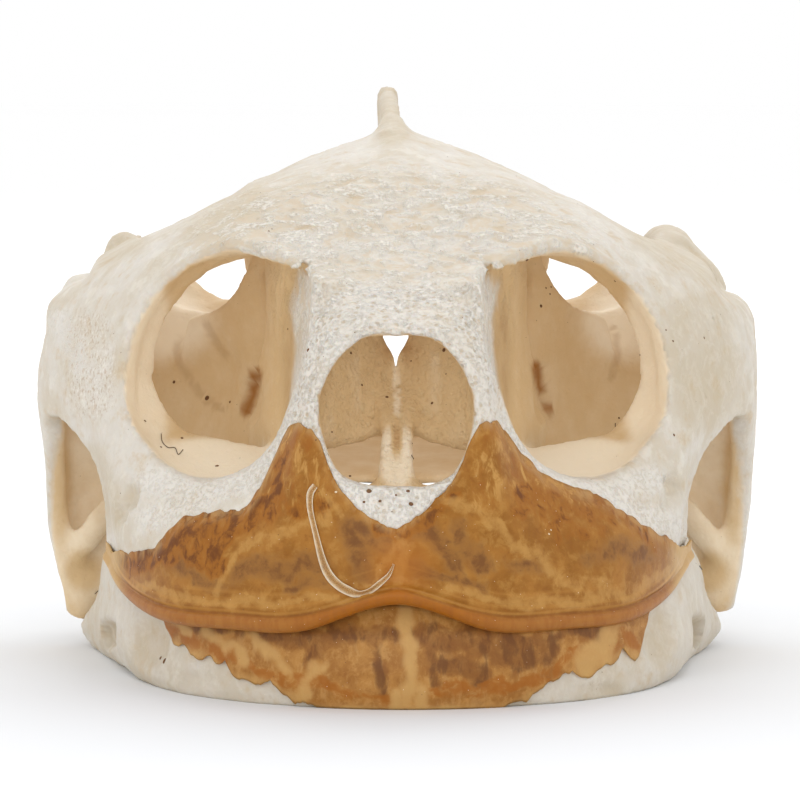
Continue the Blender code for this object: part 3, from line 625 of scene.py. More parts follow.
# %% The arch that both jaws follow
JAW_ARCH = [
    (0, -39.9), (8.2, -38.3), (15.2, -34.2), (21.2, -27.6), (25.6, -19.2), (28.2, -10.8),
    (29.8, -3.4), (31.0, 3.6), (31.6, 9.6), (31.0, 16.6),
]  # fmt: skip
RIGHT_EDGE = [
    (0, 16.3), (2.0, 17.1), (3.6, 18.4), (5.2, 20.0), (6.3, 22.0), (6.9, 23.8), (7.6, 25.0), (8.8, 25.5), (9.7, 24.9),
    (10.4, 23.5), (11.3, 21.4), (12.2, 19.4), (13.3, 17.8), (14.6, 17.4), (17.4, 16.6), (19.6, 16.2), (20.6, 15.0),
    (22.2, 13.2), (26.2, 12.1), (29, 11.2),
]  # fmt: skip
LEFT_EDGE = [
    (0, 16.3), (1.2, 17.0), (2.6, 18.2), (4.4, 19.7), (5.6, 21.6), (6.5, 23.8), (7.4, 25.4), (8.9, 25.7), (9.9, 24.3),
    (11.1, 22.4), (13.9, 20.0), (16.7, 18.7), (18.6, 18.0), (21.4, 16.1), (23.4, 14.5), (26.5, 12.7), (29, 11.2),
]  # fmt: skip


def arch_frame(count, last):
    """Points along the jaws' arch, up to station last, with the level direction that points inwards at each."""
    line = spline(JAW_ARCH[: last + 1], count, across_middle=True)
    ahead = unit(np.gradient(line, axis=0))
    ahead[0] = (1, 0)
    return line, np.stack([-ahead[:, 1], ahead[:, 0]], axis=1)


def arch_solid(name, stations, count, last, fine=3):
    """A bar along the jaws' arch. Each station is a loop of (inward, z) points."""
    line, inward = arch_frame(count, last)
    loops = spline([closed_spline(loop, fine) for loop in stations], count)
    rings = [
        np.column_stack([p + np.outer(loop[:, 0], n), loop[:, 1]])
        for p, n, loop in zip(line, inward, loops)
    ]
    rings = np.array(rings)
    return tube(name, np.concatenate([rings[:0:-1] * (-1, 1, 1), rings]))


def ripple(place, seed, scale):
    """Smooth random ups and downs along a line, for edges that grew by themselves."""
    rng = np.random.default_rng(seed)
    knots = rng.normal(0, 1, 400)
    return np.interp(np.asarray(place) / scale + 150, np.arange(400), knots)


# %% Loft the upper beak
ROOF = 12.8
LIP, LINING, LEDGE, SHELF = 1.15, 1.2, 2.0, 8


def upper_horn(steps=150, down=44):
    halves = []
    for side, edge in ((-1, RIGHT_EDGE), (1, LEFT_EDGE)):
        edge_x, edge_z = np.array(edge).T
        face, above, below = [], [], []
        for rib in spline(RIBS[:6], steps, across_middle=True):
            line = spline(rib, 400)
            across = line[:, 0]
            ragged = 0.14 * ripple(across * side, 3, 0.8) + 0.07 * ripple(across * side, 8, 0.35)
            top = np.interp(across, edge_x, edge_z) + ragged
            under = line[:, 2] < top
            first = min(np.argmax(under), 380) if under.any() else 380
            reach = np.concatenate([[0], np.cumsum(np.linalg.norm(np.diff(line[first:], axis=0), axis=1))])
            spaced = np.concatenate([
                np.linspace(0, 0.75, down // 2, endpoint=False), np.linspace(0.75, 1, down - down // 2),
            ])
            spaced *= reach[-1]
            face.append(np.column_stack([np.interp(spaced, reach, line[first:, k]) for k in range(3)]))
            above.append(reach[-1] - spaced)
            below.append(spaced)
        face, above, below = np.array(face), np.array(above), np.array(below)
        out = unit(np.cross(np.gradient(face, axis=1), np.gradient(face, axis=0)))
        level_in = unit(out[:, -3] * (-1, -1, 0))
        lip = np.sin(np.pi * np.clip(above / LIP, 0, 1)) ** 0.8 * 0.3
        groove = np.exp(-(((above - 1.3) / 0.22) ** 2)) * 0.16 - np.exp(-(((above - 1.85) / 0.3) ** 2)) * 0.12
        body = 0.1 + 0.25 * smooth_step(below, 0, 2.2) + (lip - groove) * smooth_step(below, 0.5, 2)
        outer = face + out * body[..., None]
        inner = face - out * (0.1 + (HORN - 0.1) * smooth_step(below, 0.2, 3))[..., None]
        edge_line = outer[:, -1]
        rise = np.array([0, 0, 1.0])
        fade = np.clip((steps - 1 - np.arange(steps)) / (steps * 0.14), 0.12, 1)[:, None]
        roof = (ROOF - edge_line[:, 2:]) * fade
        floor = [
            edge_line + level_in * (k * fade) + rise * h
            for k, h in ((0.35, -0.22), (0.8, -0.28), (1.3, -0.1), (1.8, 0.5))
        ]
        floor += [
            edge_line + level_in * (LEDGE * fade + SHELF * fade * k) + rise * roof * h
            for k, h in ((0.0, 0.4), (0.1, 0.75), (0.3, 0.95), (0.6, 1.0), (1.0, 1.06))
        ]
        lining = [
            edge_line + level_in * (LEDGE * fade + SHELF * fade * k) + rise * (roof * h + LINING * fade)
            for k, h in ((1.0, 1.06), (0.5, 1.0), (0.15, 0.9))
        ]
        rows = [outer[:, k] for k in range(down)] + floor + lining + [inner[:, k] for k in range(down - 4, -1, -1)]
        halves.append((np.stack(rows, axis=1) * (side, 1, 1), above, below))
    rings = np.concatenate([halves[0][0][:0:-1], halves[1][0]])
    return tube("upper_beak", rings)


upper_beak = upper_horn()
shifted(upper_beak, [(-30.0, 13.6, 5.5, 6.5, 0, -1.2), (30.0, 13.6, 5.5, 6.5, 0.6, -1.0)])
print("upper beak:", len(upper_beak.data.polygons), "faces")

# %% [markdown]
# The lower beak is a plain scoop round the chin. Its lower edge is thin, ragged and higher towards the corners of the
# mouth. The jaw sits about a millimetre off centre, as it does on the real skull, so both are shifted a little.

# %% Loft the lower beak
CHIN_RIGHT = [
    (0, -0.1), (8.5, -0.1), (10.0, 0.3), (11.5, 1.3), (12.9, 2.0), (15.6, 2.2), (17.1, 3.1), (18.3, 3.9), (20.1, 3.9),
    (21.6, 4.5), (22.7, 5.6), (24.7, 7.8), (30, 10.0),
]  # fmt: skip
CHIN_LEFT = [
    (0, -0.1), (8.6, -0.1), (9.8, 0.1), (11.2, 0.9), (12.9, 1.6), (14.6, 2.4), (16.4, 2.2), (17.4, 2.3), (18.5, 3.4),
    (19.8, 3.9), (21.3, 3.4), (22.2, 5.0), (22.8, 6.0), (24.0, 7.8), (30, 9.6),
]  # fmt: skip


# How far in the horn stands at each height, and the ledge inside it that the tongue would touch.
BULGE = [-0.5, 0.2, 1.5, 3.6, 6.6, 9.4, 11], [1.5, 1.1, 0.75, 0.6, 1.05, 2.4, 2.6]
MOUTH_SHELF = np.array([(3.4, 6.6), (5.5, 7.2), (8.2, 7.7), (8.6, 8.2), (8.4, 8.8), (5.5, 8.9), (3.4, 9.4)])


def lower_horn(steps=150, down=30):
    line, inward = arch_frame(steps, 5)
    along = np.linspace(0, 1, steps)
    halves = []
    for side, edge in ((-1, CHIN_RIGHT), (1, CHIN_LEFT)):
        edge_x, edge_z = np.array(edge).T
        across = line[:, 0]
        ragged = 0.28 * ripple(across * side, 12, 0.7) + 0.12 * ripple(across * side, 14, 0.3)
        bottom = np.interp(across, edge_x, edge_z) + ragged * smooth_step(across, 5, 9)
        top = 9.3 + 1.3 * along**2
        rings = []
        for k in range(steps):
            z = np.linspace(top[k], bottom[k], down)
            bulge = np.interp(z, *BULGE) - 0.25 * along[k]
            thin = 0.25 + 1.1 * smooth_step(z - bottom[k], 0, 2.5)
            outer = np.column_stack([bulge, z])
            heights = np.linspace(bottom[k], max(6.2 + 1.4 * along[k] ** 2, bottom[k] + 0.2), 14)
            inner = np.column_stack([np.interp(heights, z[::-1], (bulge + thin)[::-1]), heights])
            shelf = MOUTH_SHELF * (1 - 0.45 * along[k], 1) + (0, 1.4 * along[k] ** 2)
            shelf[:, 1] = np.maximum(shelf[:, 1], bottom[k] + (0.3, 0.4, 0.5, 0.6, 0.8, 0.9, 1.0))
            loop = np.concatenate([outer, inner[1:], shelf])
            rings.append(np.column_stack([line[k] + np.outer(loop[:, 0], inward[k]), loop[:, 1]]))
        halves.append(np.array(rings) * (side, 1, 1))
    return tube("lower_beak", np.concatenate([halves[0][:0:-1], halves[1]]))


def set_off(obj, sideways):
    """Shifts the front of a jaw piece to one side, less and less towards the joint."""
    points = points_of(obj)
    points[:, 0] += sideways * np.clip((8 - points[:, 1]) / 30, 0.3, 1)
    move_points(obj, points)
    return obj


JAW_OFF_CENTRE = 0.9
lower_beak = set_off(lower_horn(), JAW_OFF_CENTRE)
print("lower beak:", len(lower_beak.data.polygons), "faces")

# %% [markdown]
# ## The lower jaw
# One bone, bent like a bow. Each station along the arch is a small outline, deep and narrow at the sides, low and
# wide at the chin, where the skull rests on it.

# %% Loft and fuse the lower jaw
JAW_STATIONS = [
    [(3.0, 8.6), (1.7, 5.6), (1.6, 2.4), (2.8, -0.5), (11.0, -0.5), (12.4, 2.6), (8.0, 7.6)],
    [(3.0, 8.6), (1.6, 5.6), (1.3, 2.4), (2.2, -0.5), (10.0, -0.5), (11.4, 2.6), (8.0, 7.8)],
    [(2.8, 8.6), (1.4, 5.6), (0.8, 2.4), (1.6, -0.6), (8.4, -0.5), (9.2, 2.8), (7.4, 8.0)],
    [(2.6, 8.8), (1.2, 5.6), (0.5, 2.4), (1.4, -0.6), (7.4, -0.3), (8.0, 3.2), (6.8, 8.4)],
    [(2.3, 9.4), (0.8, 6.0), (0.3, 2.6), (1.8, -0.2), (7.0, 0.2), (7.6, 4.0), (6.0, 9.2)],
    [(2.4, 11.0), (0.6, 6.2), (0.4, 3.0), (2.2, 0.2), (6.6, 0.2), (7.2, 5.0), (5.4, 11.4)],
    [(3.2, 14.0), (0.4, 6.0), (0.8, 2.8), (2.8, -0.3), (6.2, -0.2), (6.8, 6.0), (5.0, 15.0)],
    [(2.4, 9.6), (0.2, 5.2), (0.6, 2.6), (2.4, -0.4), (6.0, -0.4), (6.6, 4.0), (4.6, 9.6)],
    [(-0.2, 2.6), (-0.2, 1.8), (0.6, 0.8), (2.4, -0.4), (5.4, -0.4), (7.6, 1.2), (7.6, 2.6)],
    [(1.2, 3.4), (1.0, 2.6), (1.4, 1.6), (2.6, 0.6), (4.0, 0.6), (5.0, 1.8), (4.6, 3.2)],
]


def mouth():
    """A cutter for the space inside the jaws' arch, below the palate."""
    line, inward = arch_frame(40, 6)
    half = line + inward * 2.3
    loop = np.concatenate([half[:0:-1] * (-1, 1), half])
    return tube("mouth", [np.insert(loop, 2, level, axis=1) for level in (-5, 12.6)])


rough_jaw = set_off(arch_solid("lower_jaw", JAW_STATIONS, 110, 9, fine=6), JAW_OFF_CENTRE)
lower_jaw = fused("lower_jaw", [rough_jaw], 0.5, 3)
seat = fused("seat", [mouth(), grown(upper_beak, -0.12), grown(lower_beak, EASE), grown(lower_jaw, 0.3)], 0.4, 0)
carve(lower_jaw, [grown(lower_beak, -0.12)])
lower_jaw = fused("lower_jaw", [lower_jaw], BONE_GRAIN, 2)
print("lower jaw:", len(lower_jaw.data.polygons), "faces")

# %% [markdown]
# ## Fusing the cranium
# Now all plates and struts become one bone: a voxel remesh melts them together and rounds every meeting line, as
# growth does. The seats of the beaks are cut before the last pass, so the bone draws back under the horn.

# %% Fuse the cranium
cranium = fused("cranium", bone, max(BONE_GRAIN, 0.5), 2)
carve(cranium, [seat])
cranium = fused("cranium", [cranium], BONE_GRAIN, 2)
print("cranium:", len(cranium.data.polygons), "faces")

# %% [markdown]
# ## Looking from the camera
# Much of the skull's character is in small marks: nerve holes, seams between bones, veins in the horn, specks of
# dust. Each is put where the eye finds it. A line from the camera meets the surface at a place in the 800 by 800
# picture, and the other way round, every point of a surface knows where it shows in the picture.

# %% From the picture to the surface and back
EYE = Vector((0.29, -500.0, 60.0))
FOCAL = 5202.0
WANDER_SEED = 11
noise.seed_set(WANDER_SEED)


def tree_of(*objects):
    shape = bmesh.new()
    for obj in objects:
        shape.from_mesh(obj.data)
    tree = BVHTree.FromBMesh(shape)
    shape.free()
    return tree


def seen_at(tree, across, down):
    """The point and facing of the surface that the camera sees at a place in the picture."""
    angle = TILT + math.atan((down - 400) / FOCAL)
    ray = Vector(((across - 400) / FOCAL, math.cos(angle), -math.sin(angle))).normalized()
    place, normal, _, _ = tree.ray_cast(EYE, ray)
    return place, normal


def in_picture(points):
    """Where points show in the picture, as across and down."""
    away = points - np.array(EYE)
    depth = away[:, 1] * math.cos(TILT) - away[:, 2] * math.sin(TILT)
    height = away[:, 1] * math.sin(TILT) + away[:, 2] * math.cos(TILT)
    return np.column_stack([400 + FOCAL * away[:, 0] / depth, 400 - FOCAL * height / depth])


def stroke(picture, path, wide, soft):
    """1 within wide of a line through the path, fading to 0 over the next soft pixels."""
    nearest = np.full(len(picture), 1e9)
    for a, b in zip(np.array(path[:-1], float), np.array(path[1:], float)):
        run = b - a
        share = np.clip(((picture - a) @ run) / max(run @ run, 1e-9), 0, 1)[:, None]
        nearest = np.minimum(nearest, np.linalg.norm(picture - a - share * run, axis=1))
    return 1 - smooth_step(nearest, wide, wide + soft)


def strokes(picture, *lines):
    """The strongest of several strokes. Each is a path, its width and its softness."""
    return np.max([stroke(picture, *line) for line in lines], axis=0)


def wandering(points, picture):
    """The picture places, pushed about by noise, so that strokes drawn with them run unevenly."""
    push = [2 * noise.noise_vector(p * 0.22) * 7 + noise.noise_vector(p * 0.7) * 6 for p in map(Vector, points)]
    return picture + np.array(push)[:, :2]


def store(obj, name, values):
    attribute = obj.data.attributes.new(name, "FLOAT", "POINT")
    attribute.data.foreach_set("value", np.asarray(values, np.float32))


print("the snout's tip shows at", in_picture(np.array([[0, -39.6, 12.0]])).round())

# %% [markdown]
# ## Maths on wires
# Both geometry trees and materials are graphs of nodes. This small class lets Python's own operators add their maths
# nodes, so that a mask reads like the formula it is.

# %% A graph and its wires
class Wire:
    """One output of a node. Operators on it add Math nodes to its graph."""

    def __init__(self, graph, socket):
        self.graph, self.socket = graph, socket

    def __add__(self, other):
        return self.graph.math("ADD", self, other)

    def __sub__(self, other):
        return self.graph.math("SUBTRACT", self, other)

    def __rsub__(self, other):
        return self.graph.math("SUBTRACT", other, self)

    def __mul__(self, other):
        return self.graph.math("MULTIPLY", self, other)

    def __truediv__(self, other):
        return self.graph.math("DIVIDE", self, other)

    def __abs__(self):
        return self.graph.math("ABSOLUTE", self)

    __radd__, __rmul__ = __add__, __mul__


class Graph:
    """A node tree. Its node method takes a node's type, its settings and its inputs."""

    def __init__(self, tree):
        self.tree = tree
        self.tree.nodes.clear()

    def node(self, kind, settings=None, inputs=None, output=0):
        node = self.tree.nodes.new(kind)
        for name, value in (settings or {}).items():
            setattr(node, name, value)
        for key, value in (inputs or {}).items():
            if isinstance(value, Wire):
                self.tree.links.new(value.socket, node.inputs[key])
            else:
                node.inputs[key].default_value = value
        return Wire(self, node.outputs[output]) if node.outputs else None

    def math(self, operation, *values):
        return self.node("ShaderNodeMath", {"operation": operation}, dict(enumerate(values)))

    def vector(self, operation, *values, output=0):
        return self.node("ShaderNodeVectorMath", {"operation": operation}, dict(enumerate(values)), output)

    def scaled(self, vector, factor):
        return self.node("ShaderNodeVectorMath", {"operation": "SCALE"}, {0: vector, "Scale": factor})

    def ramp(self, value, low, high, start=0.0, end=1.0):
        """start below low, end above high, and a soft slope between."""
        names = {"Value": value, "From Min": low, "From Max": high, "To Min": start, "To Max": end}
        return self.node("ShaderNodeMapRange", {"interpolation_type": "SMOOTHSTEP"}, names)

    def noise(self, place, scale, detail=3.0, rough=0.5, warp=0.0):
        inputs = {"Vector": place, "Scale": scale, "Detail": detail, "Roughness": rough, "Distortion": warp}
        return self.node("ShaderNodeTexNoise", {}, inputs)

    def cells(self, place, scale):
        return self.node("ShaderNodeTexVoronoi", {}, {"Vector": place, "Scale": scale})

    def mix(self, amount, first, second):
        return self.node("ShaderNodeMix", {"data_type": "RGBA"}, {0: amount, 6: first, 7: second}, 2)

    def blob(self, place, centre, radii, soft=0.5):
        """1 inside an oval region, fading to 0 at its edge."""
        away = self.vector("DIVIDE", self.vector("SUBTRACT", place, centre), radii)
        return self.ramp(self.vector("LENGTH", away, output=1), 1 - soft, 1, 1.0, 0.0)


# %% Run a geometry tree on an object
def through_geometry(obj, name, sizes, build, finish_material=None):
    """Runs a new geometry tree over the object. Sizes are its named inputs, and build makes its middle."""
    tree = bpy.data.node_groups.new(name, "GeometryNodeTree")
    tree.interface.new_socket("Geometry", in_out="INPUT", socket_type="NodeSocketGeometry")
    tree.interface.new_socket("Geometry", in_out="OUTPUT", socket_type="NodeSocketGeometry")
    for key in sizes:
        tree.interface.new_socket(key, in_out="INPUT", socket_type="NodeSocketFloat")
    graph = Graph(tree)
    source = tree.nodes.new("NodeGroupInput")
    wires = {socket.name: Wire(graph, socket) for socket in source.outputs if socket.name}
    result = build(graph, wires)
    if finish_material:
        result = graph.node("GeometryNodeRealizeInstances", {}, {"Geometry": result})
        result = graph.node("GeometryNodeSetMaterial", {}, {"Geometry": result, "Material": finish_material})
    target = tree.nodes.new("NodeGroupOutput")
    tree.links.new(result.socket, target.inputs[0])
    modifier = obj.modifiers.new(name, "NODES")
    modifier.node_group = tree
    for item in tree.interface.items_tree:
        if item.in_out == "INPUT" and item.name in sizes:
            modifier[item.identifier] = float(sizes[item.name])
    return settled(obj)


# %% [markdown]
# ## The grain of bone
# Dry bone is never smooth. Its plates swell and dip by a fraction of a millimetre, the brow is wrinkled, and the
# muzzle is peppered with pores. A geometry tree moves every point along its normal by noise.

# %% Roughen the bone
def weather(graph, wires):
    place = graph.node("GeometryNodeInputPosition")
    normal = graph.node("GeometryNodeInputNormal")
    swell = (graph.noise(place, 0.11, 2.0) - 0.5) * wires["Swell"]
    brow = graph.blob(place, (0, -14, 43), (19, 22, 11), 0.6)
    folds = graph.noise(place, 0.5, 4.0, 0.6, 1.0)
    folds = graph.ramp(folds, 0.42, 0.58, -1.0, 0.0) * wires["Folds"] * (0.3 + 0.9 * brow)
    muzzle = graph.blob(place, (0, -33, 31), (16, 16, 13), 0.5)
    pores = graph.ramp(graph.cells(place, 0.85), 0.12, 0.42, -1.0, 0.0) * wires["Pores"] * (0.2 + muzzle)
    offset = graph.scaled(normal, swell + folds + pores)
    return graph.node("GeometryNodeSetPosition", {}, {"Geometry": wires["Geometry"], "Offset": offset})


for piece in (cranium, lower_jaw):
    through_geometry(piece, "weather_" + piece.name, {"Swell": 0.5, "Folds": 0.22, "Pores": 0.2}, weather)
modified(cranium, "TRIANGULATE")
if len(cranium.data.polygons) > BONE_TRIANGLES:
    modified(cranium, "DECIMATE", ratio=BONE_TRIANGLES / len(cranium.data.polygons))
carve(cranium, [nose_slit()])
print("cranium:", len(cranium.data.polygons), "triangles")

# %% [markdown]
# No skull is even. Its shoulders, cheeks and jaw corners are set a little off on each side, by soft shifts that fade
# out around their places.

# %% Let the halves differ
shifted(cranium, [
    (-37, 18, 6, 9, 0.6, 0), (-36, 5, 6, 8, 1.0, 0), (37, 33, 6, 8, 1.0, 0.3), (-31.8, 37.6, 2.4, 2.4, 0.9, -0.8),
    (-34.2, 33.6, 2.5, 3, -0.7, 0.3), (32.5, 38.5, 2.5, 3, 0, -1.2), (32.8, 36.2, 2.2, 2.4, -0.7, -0.7),
    (35.5, 33, 3, 3, 0.4, 0.3), (-26, 41, 4, 3, 0, 0.35), (-14.5, 46, 2.5, 3, 0.1, 0.4), (19, 44, 4, 3, 0, 0.25),
    (-31.3, 3.6, 3.0, 2.6, 0.1, -1.1), (-35.5, 3.6, 2.6, 4.5, 1.4, 0.3), (35.5, 3.6, 2.6, 4.5, -1.4, 0.3),
    (31.5, 3.6, 2.4, 2.4, 0, -0.5),
])  # fmt: skip
shifted(lower_jaw, [(-31.5, 5.5, 6, 6, 1.3, 0), (32, 5.5, 6, 5, -0.9, 0)])
print("halves set apart")

# %% [markdown]
# Muscle scars and nerve holes are sunk in as dents with steep sides and a flat bottom. How deep each point was
# sunk is stored with it, for the painted shade that darkens the dents.

# %% Press dents
def press(obj, dents):
    """Presses an oval dent at each (across, down, half width, half height, depth) of the picture, sizes in pixels."""
    tree, points = tree_of(obj), points_of(obj)
    picture = in_picture(points)
    dent_shade = np.zeros(len(points))
    moved = points.copy()
    for across, down, wide, high, depth in dents:
        place, normal = seen_at(tree, across, down)
        if place is None:
            print("no bone at", across, down)
            continue
        far = np.hypot((picture[:, 0] - across) / wide, (picture[:, 1] - down) / high)
        near = np.linalg.norm(points - np.array(place), axis=1) < 2.5 + 0.2 * max(wide, high)
        share = (1 - smooth_step(far, 0.5, 1.15)) * near
        moved -= np.array(normal) * (share * depth)[:, None]
        dent_shade = np.maximum(dent_shade, share * min(1, depth / 1.2))
    move_points(obj, moved)
    # The share is kept for the painted shade in the dents.
    store(obj, "dent_shade", dent_shade)


FACE_DENTS = [
    (130, 496, 8, 14, 0.8), (121, 514, 7, 10, 0.5), (674, 486, 9, 14, 0.8), (667, 503, 7, 8, 0.5),
    (176, 500, 9, 9, 0.3), (640, 505, 9, 9, 0.3), (92, 345, 26, 30, 0.25), (704, 380, 26, 28, 0.25),
    (252, 396, 9, 30, 0.9), (543, 392, 9, 30, 0.9),
    (215, 370, 26, 36, 0.5), (585, 340, 24, 36, 0.5), (200, 398, 16, 14, 0.4), (600, 385, 18, 22, 0.4),
]  # fmt: skip
JAW_DENTS = [
    (107, 635, 12, 15, 1.0), (108, 636, 7, 9, 0.8), (149, 642, 20, 28, 0.9), (699, 632, 10, 17, 1.4),
    (660, 636, 17, 34, 0.6), (196, 680, 22, 9, 0.3), (600, 690, 24, 8, 0.3),
]  # fmt: skip
press(cranium, FACE_DENTS)
press(lower_jaw, JAW_DENTS)
print(len(FACE_DENTS) + len(JAW_DENTS), "dents pressed")

# %% [markdown]
# The depths of a skull are more yellow than its bleached outside, and here they are also painted darker and warmer as
# shade and light bounced round the hollows. To know how shut in a point is, a geometry tree casts rays from every
# point in a repeat zone and stores the share that meets bone.

# %% Measure how shut in each point is
RAYS = 48
LIFT_OFF = 0.15


def named(graph, name, kind="FLOAT"):
    return graph.node("GeometryNodeInputNamedAttribute", {"data_type": kind}, {"Name": name})


def keep_hollow(graph, geometry, **inputs):
    inputs = {"Geometry": geometry, "Name": "hollow", **inputs}
    return graph.node("GeometryNodeStoreNamedAttribute", {"data_type": "FLOAT"}, inputs)


def hollowness(graph, wires):
    """Adds up ray hits in a repeat zone, and stores their share of all rays."""
    first = graph.tree.nodes.new("GeometryNodeRepeatInput")
    last = graph.tree.nodes.new("GeometryNodeRepeatOutput")
    first.pair_with_output(last)
    first.inputs["Iterations"].default_value = RAYS
    graph.tree.links.new(keep_hollow(graph, wires["Geometry"]).socket, first.inputs["Geometry"])
    step = Wire(graph, first.outputs["Iteration"])
    inside = Wire(graph, first.outputs["Geometry"])
    normal = graph.node("GeometryNodeInputNormal")
    place = graph.node("GeometryNodeInputPosition")
    random = {0: (-1, -1, -1), 1: (1, 1, 1), "Seed": step}
    random = graph.node("FunctionNodeRandomValue", {"data_type": "FLOAT_VECTOR"}, random)
    ray = graph.vector("NORMALIZE", graph.vector("ADD", normal, graph.vector("NORMALIZE", random)))
    source = graph.vector("ADD", place, graph.scaled(normal, LIFT_OFF))
    names = {"Target Geometry": wires["Geometry"], "Source Position": source, "Ray Direction": ray}
    hit = graph.node("GeometryNodeRaycast", {}, {**names, "Ray Length": wires["Reach"]})
    counted = keep_hollow(graph, inside, Value=named(graph, "hollow") + hit / RAYS)
    graph.tree.links.new(counted.socket, last.inputs["Geometry"])
    raw = {0: named(graph, "hollow"), "Iterations": 3}
    even = graph.node("GeometryNodeBlurAttribute", {"data_type": "FLOAT"}, raw)
    return keep_hollow(graph, Wire(graph, last.outputs["Geometry"]), Value=even)


through_geometry(cranium, "hollow_cranium", {"Reach": 26.0}, hollowness)
print("rays cast from each point:", RAYS)


# %% Flatten the jaw where it rests
def flat_below(obj, level):
    points = points_of(obj)
    points[:, 2] = np.maximum(points[:, 2], level)
    move_points(obj, points)


for piece in (lower_jaw, lower_beak):
    flat_below(piece, 0.0)
print("the jaw rests at 0 mm")

# %% [markdown]
# ## Measures for the horn's colours
# Horn is cloudy: rusty mottling under the top edge, grey-brown clouds in the middle, pale veins between them, and a
# rolled lip below. Painting these as strokes over the beak keeps them soft. Each stroke is stored on the beak's
# points as a number, and the material later breaks its edges up with noise.

# %% Marks on the upper beak
points = points_of(upper_beak)
picture = wandering(points, in_picture(points))
lip_x, lip_z = np.array([rib[-1] for rib in spline(RIBS[:6], 60)])[:, [0, 2]].T
edge_height = [np.interp(abs(points[:, 0]), *np.array(edge).T) for edge in (RIGHT_EDGE, LEFT_EDGE)]
store(upper_beak, "rise", points[:, 2] - np.interp(abs(points[:, 0]), lip_x, lip_z))
store(upper_beak, "fall", np.where(points[:, 0] < 0, *edge_height) - points[:, 2])
VEINS = [
    ([(318, 512), (304, 527), (286, 538), (250, 547), (236, 556), (228, 568), (219, 590)], 1, 11),
    ([(444, 504), (477, 512), (509, 537), (540, 557), (566, 584)], 1, 12), ([(565, 584), (610, 590)], 1, 10),
    ([(322, 490), (334, 508)], 1, 10), ([(336, 600), (372, 580), (386, 560), (390, 535)], 0, 8),
    ([(398, 540), (398, 585)], 2, 12), ([(140, 590), (200, 604), (260, 604), (330, 596)], 1, 12),
    ([(455, 590), (540, 604), (620, 600), (668, 580)], 1, 12),
]  # fmt: skip
CLOUDS = [
    ([(242, 577), (272, 567), (322, 562)], 3, 19), ([(290, 586), (318, 580)], 1, 13),
    ([(338, 518), (352, 540), (366, 566)], 4, 18), ([(352, 520), (380, 545)], 2, 15),
    ([(414, 530), (440, 540), (458, 558)], 4, 18), ([(462, 532), (480, 560)], 3, 17),
    ([(505, 560), (548, 574)], 1, 16), ([(586, 560), (655, 552)], 3, 19), ([(172, 568), (222, 584)], 2, 16),
    ([(410, 568), (480, 584)], 1, 12),
]  # fmt: skip
RUST = [
    ([(124, 556), (170, 546), (204, 534), (232, 520), (266, 508)], 12, 15), ([(280, 500), (286, 450)], 2, 12),
    ([(160, 556), (215, 560)], 4, 15), ([(296, 512), (322, 498)], 3, 12), ([(378, 528), (392, 534)], 3, 9),
    ([(405, 530), (432, 520), (452, 500)], 2, 11),
    ([(528, 490), (560, 500), (600, 512), (650, 532), (682, 542)], 4, 14), ([(520, 512), (600, 530)], 2, 17),
    ([(545, 522), (552, 538)], 3, 9),
]  # fmt: skip
WINGS = [
    ([(292, 436), (292, 480), (284, 508)], 9, 16), ([(312, 440), (320, 484)], 5, 14),
    ([(250, 505), (280, 490)], 3, 14), ([(488, 430), (482, 470), (474, 496)], 10, 16),
    ([(505, 445), (530, 480), (575, 500)], 5, 15),
]  # fmt: skip
# The rust is fainter on the animal's left, beyond WORN_FROM.
WORN_FROM, WORN_RUST = 12, 0.7
for name, lines in (("veins", VEINS), ("clouds", CLOUDS), ("rust", RUST), ("wings", WINGS)):
    share = np.where((points[:, 0] > WORN_FROM) & (name == "rust"), WORN_RUST, 1.0)
    store(upper_beak, name, strokes(picture, *lines) * share)
print("lip from", round(float(lip_z.min()), 1), "to", round(float(lip_z.max()), 1), "mm high")

# %% Marks on the lower beak
points = points_of(lower_beak)
picture = wandering(points, in_picture(points))
chins = [np.interp(abs(points[:, 0] - JAW_OFF_CENTRE), *np.array(edge).T) for edge in (CHIN_RIGHT, CHIN_LEFT)]
store(lower_beak, "rise", points[:, 2] - np.where(points[:, 0] < JAW_OFF_CENTRE, *chins))
PALE = [
    ([(410, 604), (411, 650), (408, 690), (406, 716)], 2, 13), ([(398, 690), (396, 714)], 1, 10),
    ([(420, 690), (424, 714)], 1, 10), ([(330, 712), (480, 712)], 0, 8),
    ([(212, 636), (232, 654), (240, 664)], 1, 11), ([(256, 644), (276, 660), (288, 676)], 1, 13),
    ([(296, 696), (306, 680), (322, 662)], 1, 10), ([(612, 630), (602, 650), (584, 672)], 2, 14),
    ([(180, 622), (192, 634)], 1, 9),
]  # fmt: skip
# The strokes just under the upper lip are painted shadow that the lip casts on the lower beak; the rest are dark
# streaks in the horn.
DARK_AND_LIP_SHADOW = [
    ([(256, 634), (310, 640), (340, 638), (392, 634)], 4, 18), ([(430, 634), (480, 648), (545, 644)], 5, 20),
    ([(500, 655), (556, 652)], 3, 14), ([(446, 666), (490, 672)], 2, 15), ([(556, 636), (604, 628)], 2, 14),
    ([(376, 640), (384, 690)], 1, 12), ([(436, 640), (434, 684)], 1, 12), ([(200, 630), (240, 634)], 1, 12),
    ([(310, 660), (318, 650)], 1, 10),
]  # fmt: skip
RUSTY = [
    ([(290, 684), (318, 676), (350, 694), (388, 696)], 2, 12),
    ([(432, 692), (470, 686), (512, 678), (545, 672)], 3, 13), ([(628, 636), (646, 652)], 4, 11),
    ([(160, 622), (200, 646), (226, 656)], 3, 12), ([(620, 646), (560, 670)], 2, 10),
    ([(250, 668), (290, 690)], 2, 9),
]  # fmt: skip
for name, lines in (("pale", PALE), ("dark", DARK_AND_LIP_SHADOW), ("rust", RUSTY)):
    store(lower_beak, name, strokes(picture, *lines))
print(len(PALE) + len(DARK_AND_LIP_SHADOW) + len(RUSTY), "strokes on the lower beak")
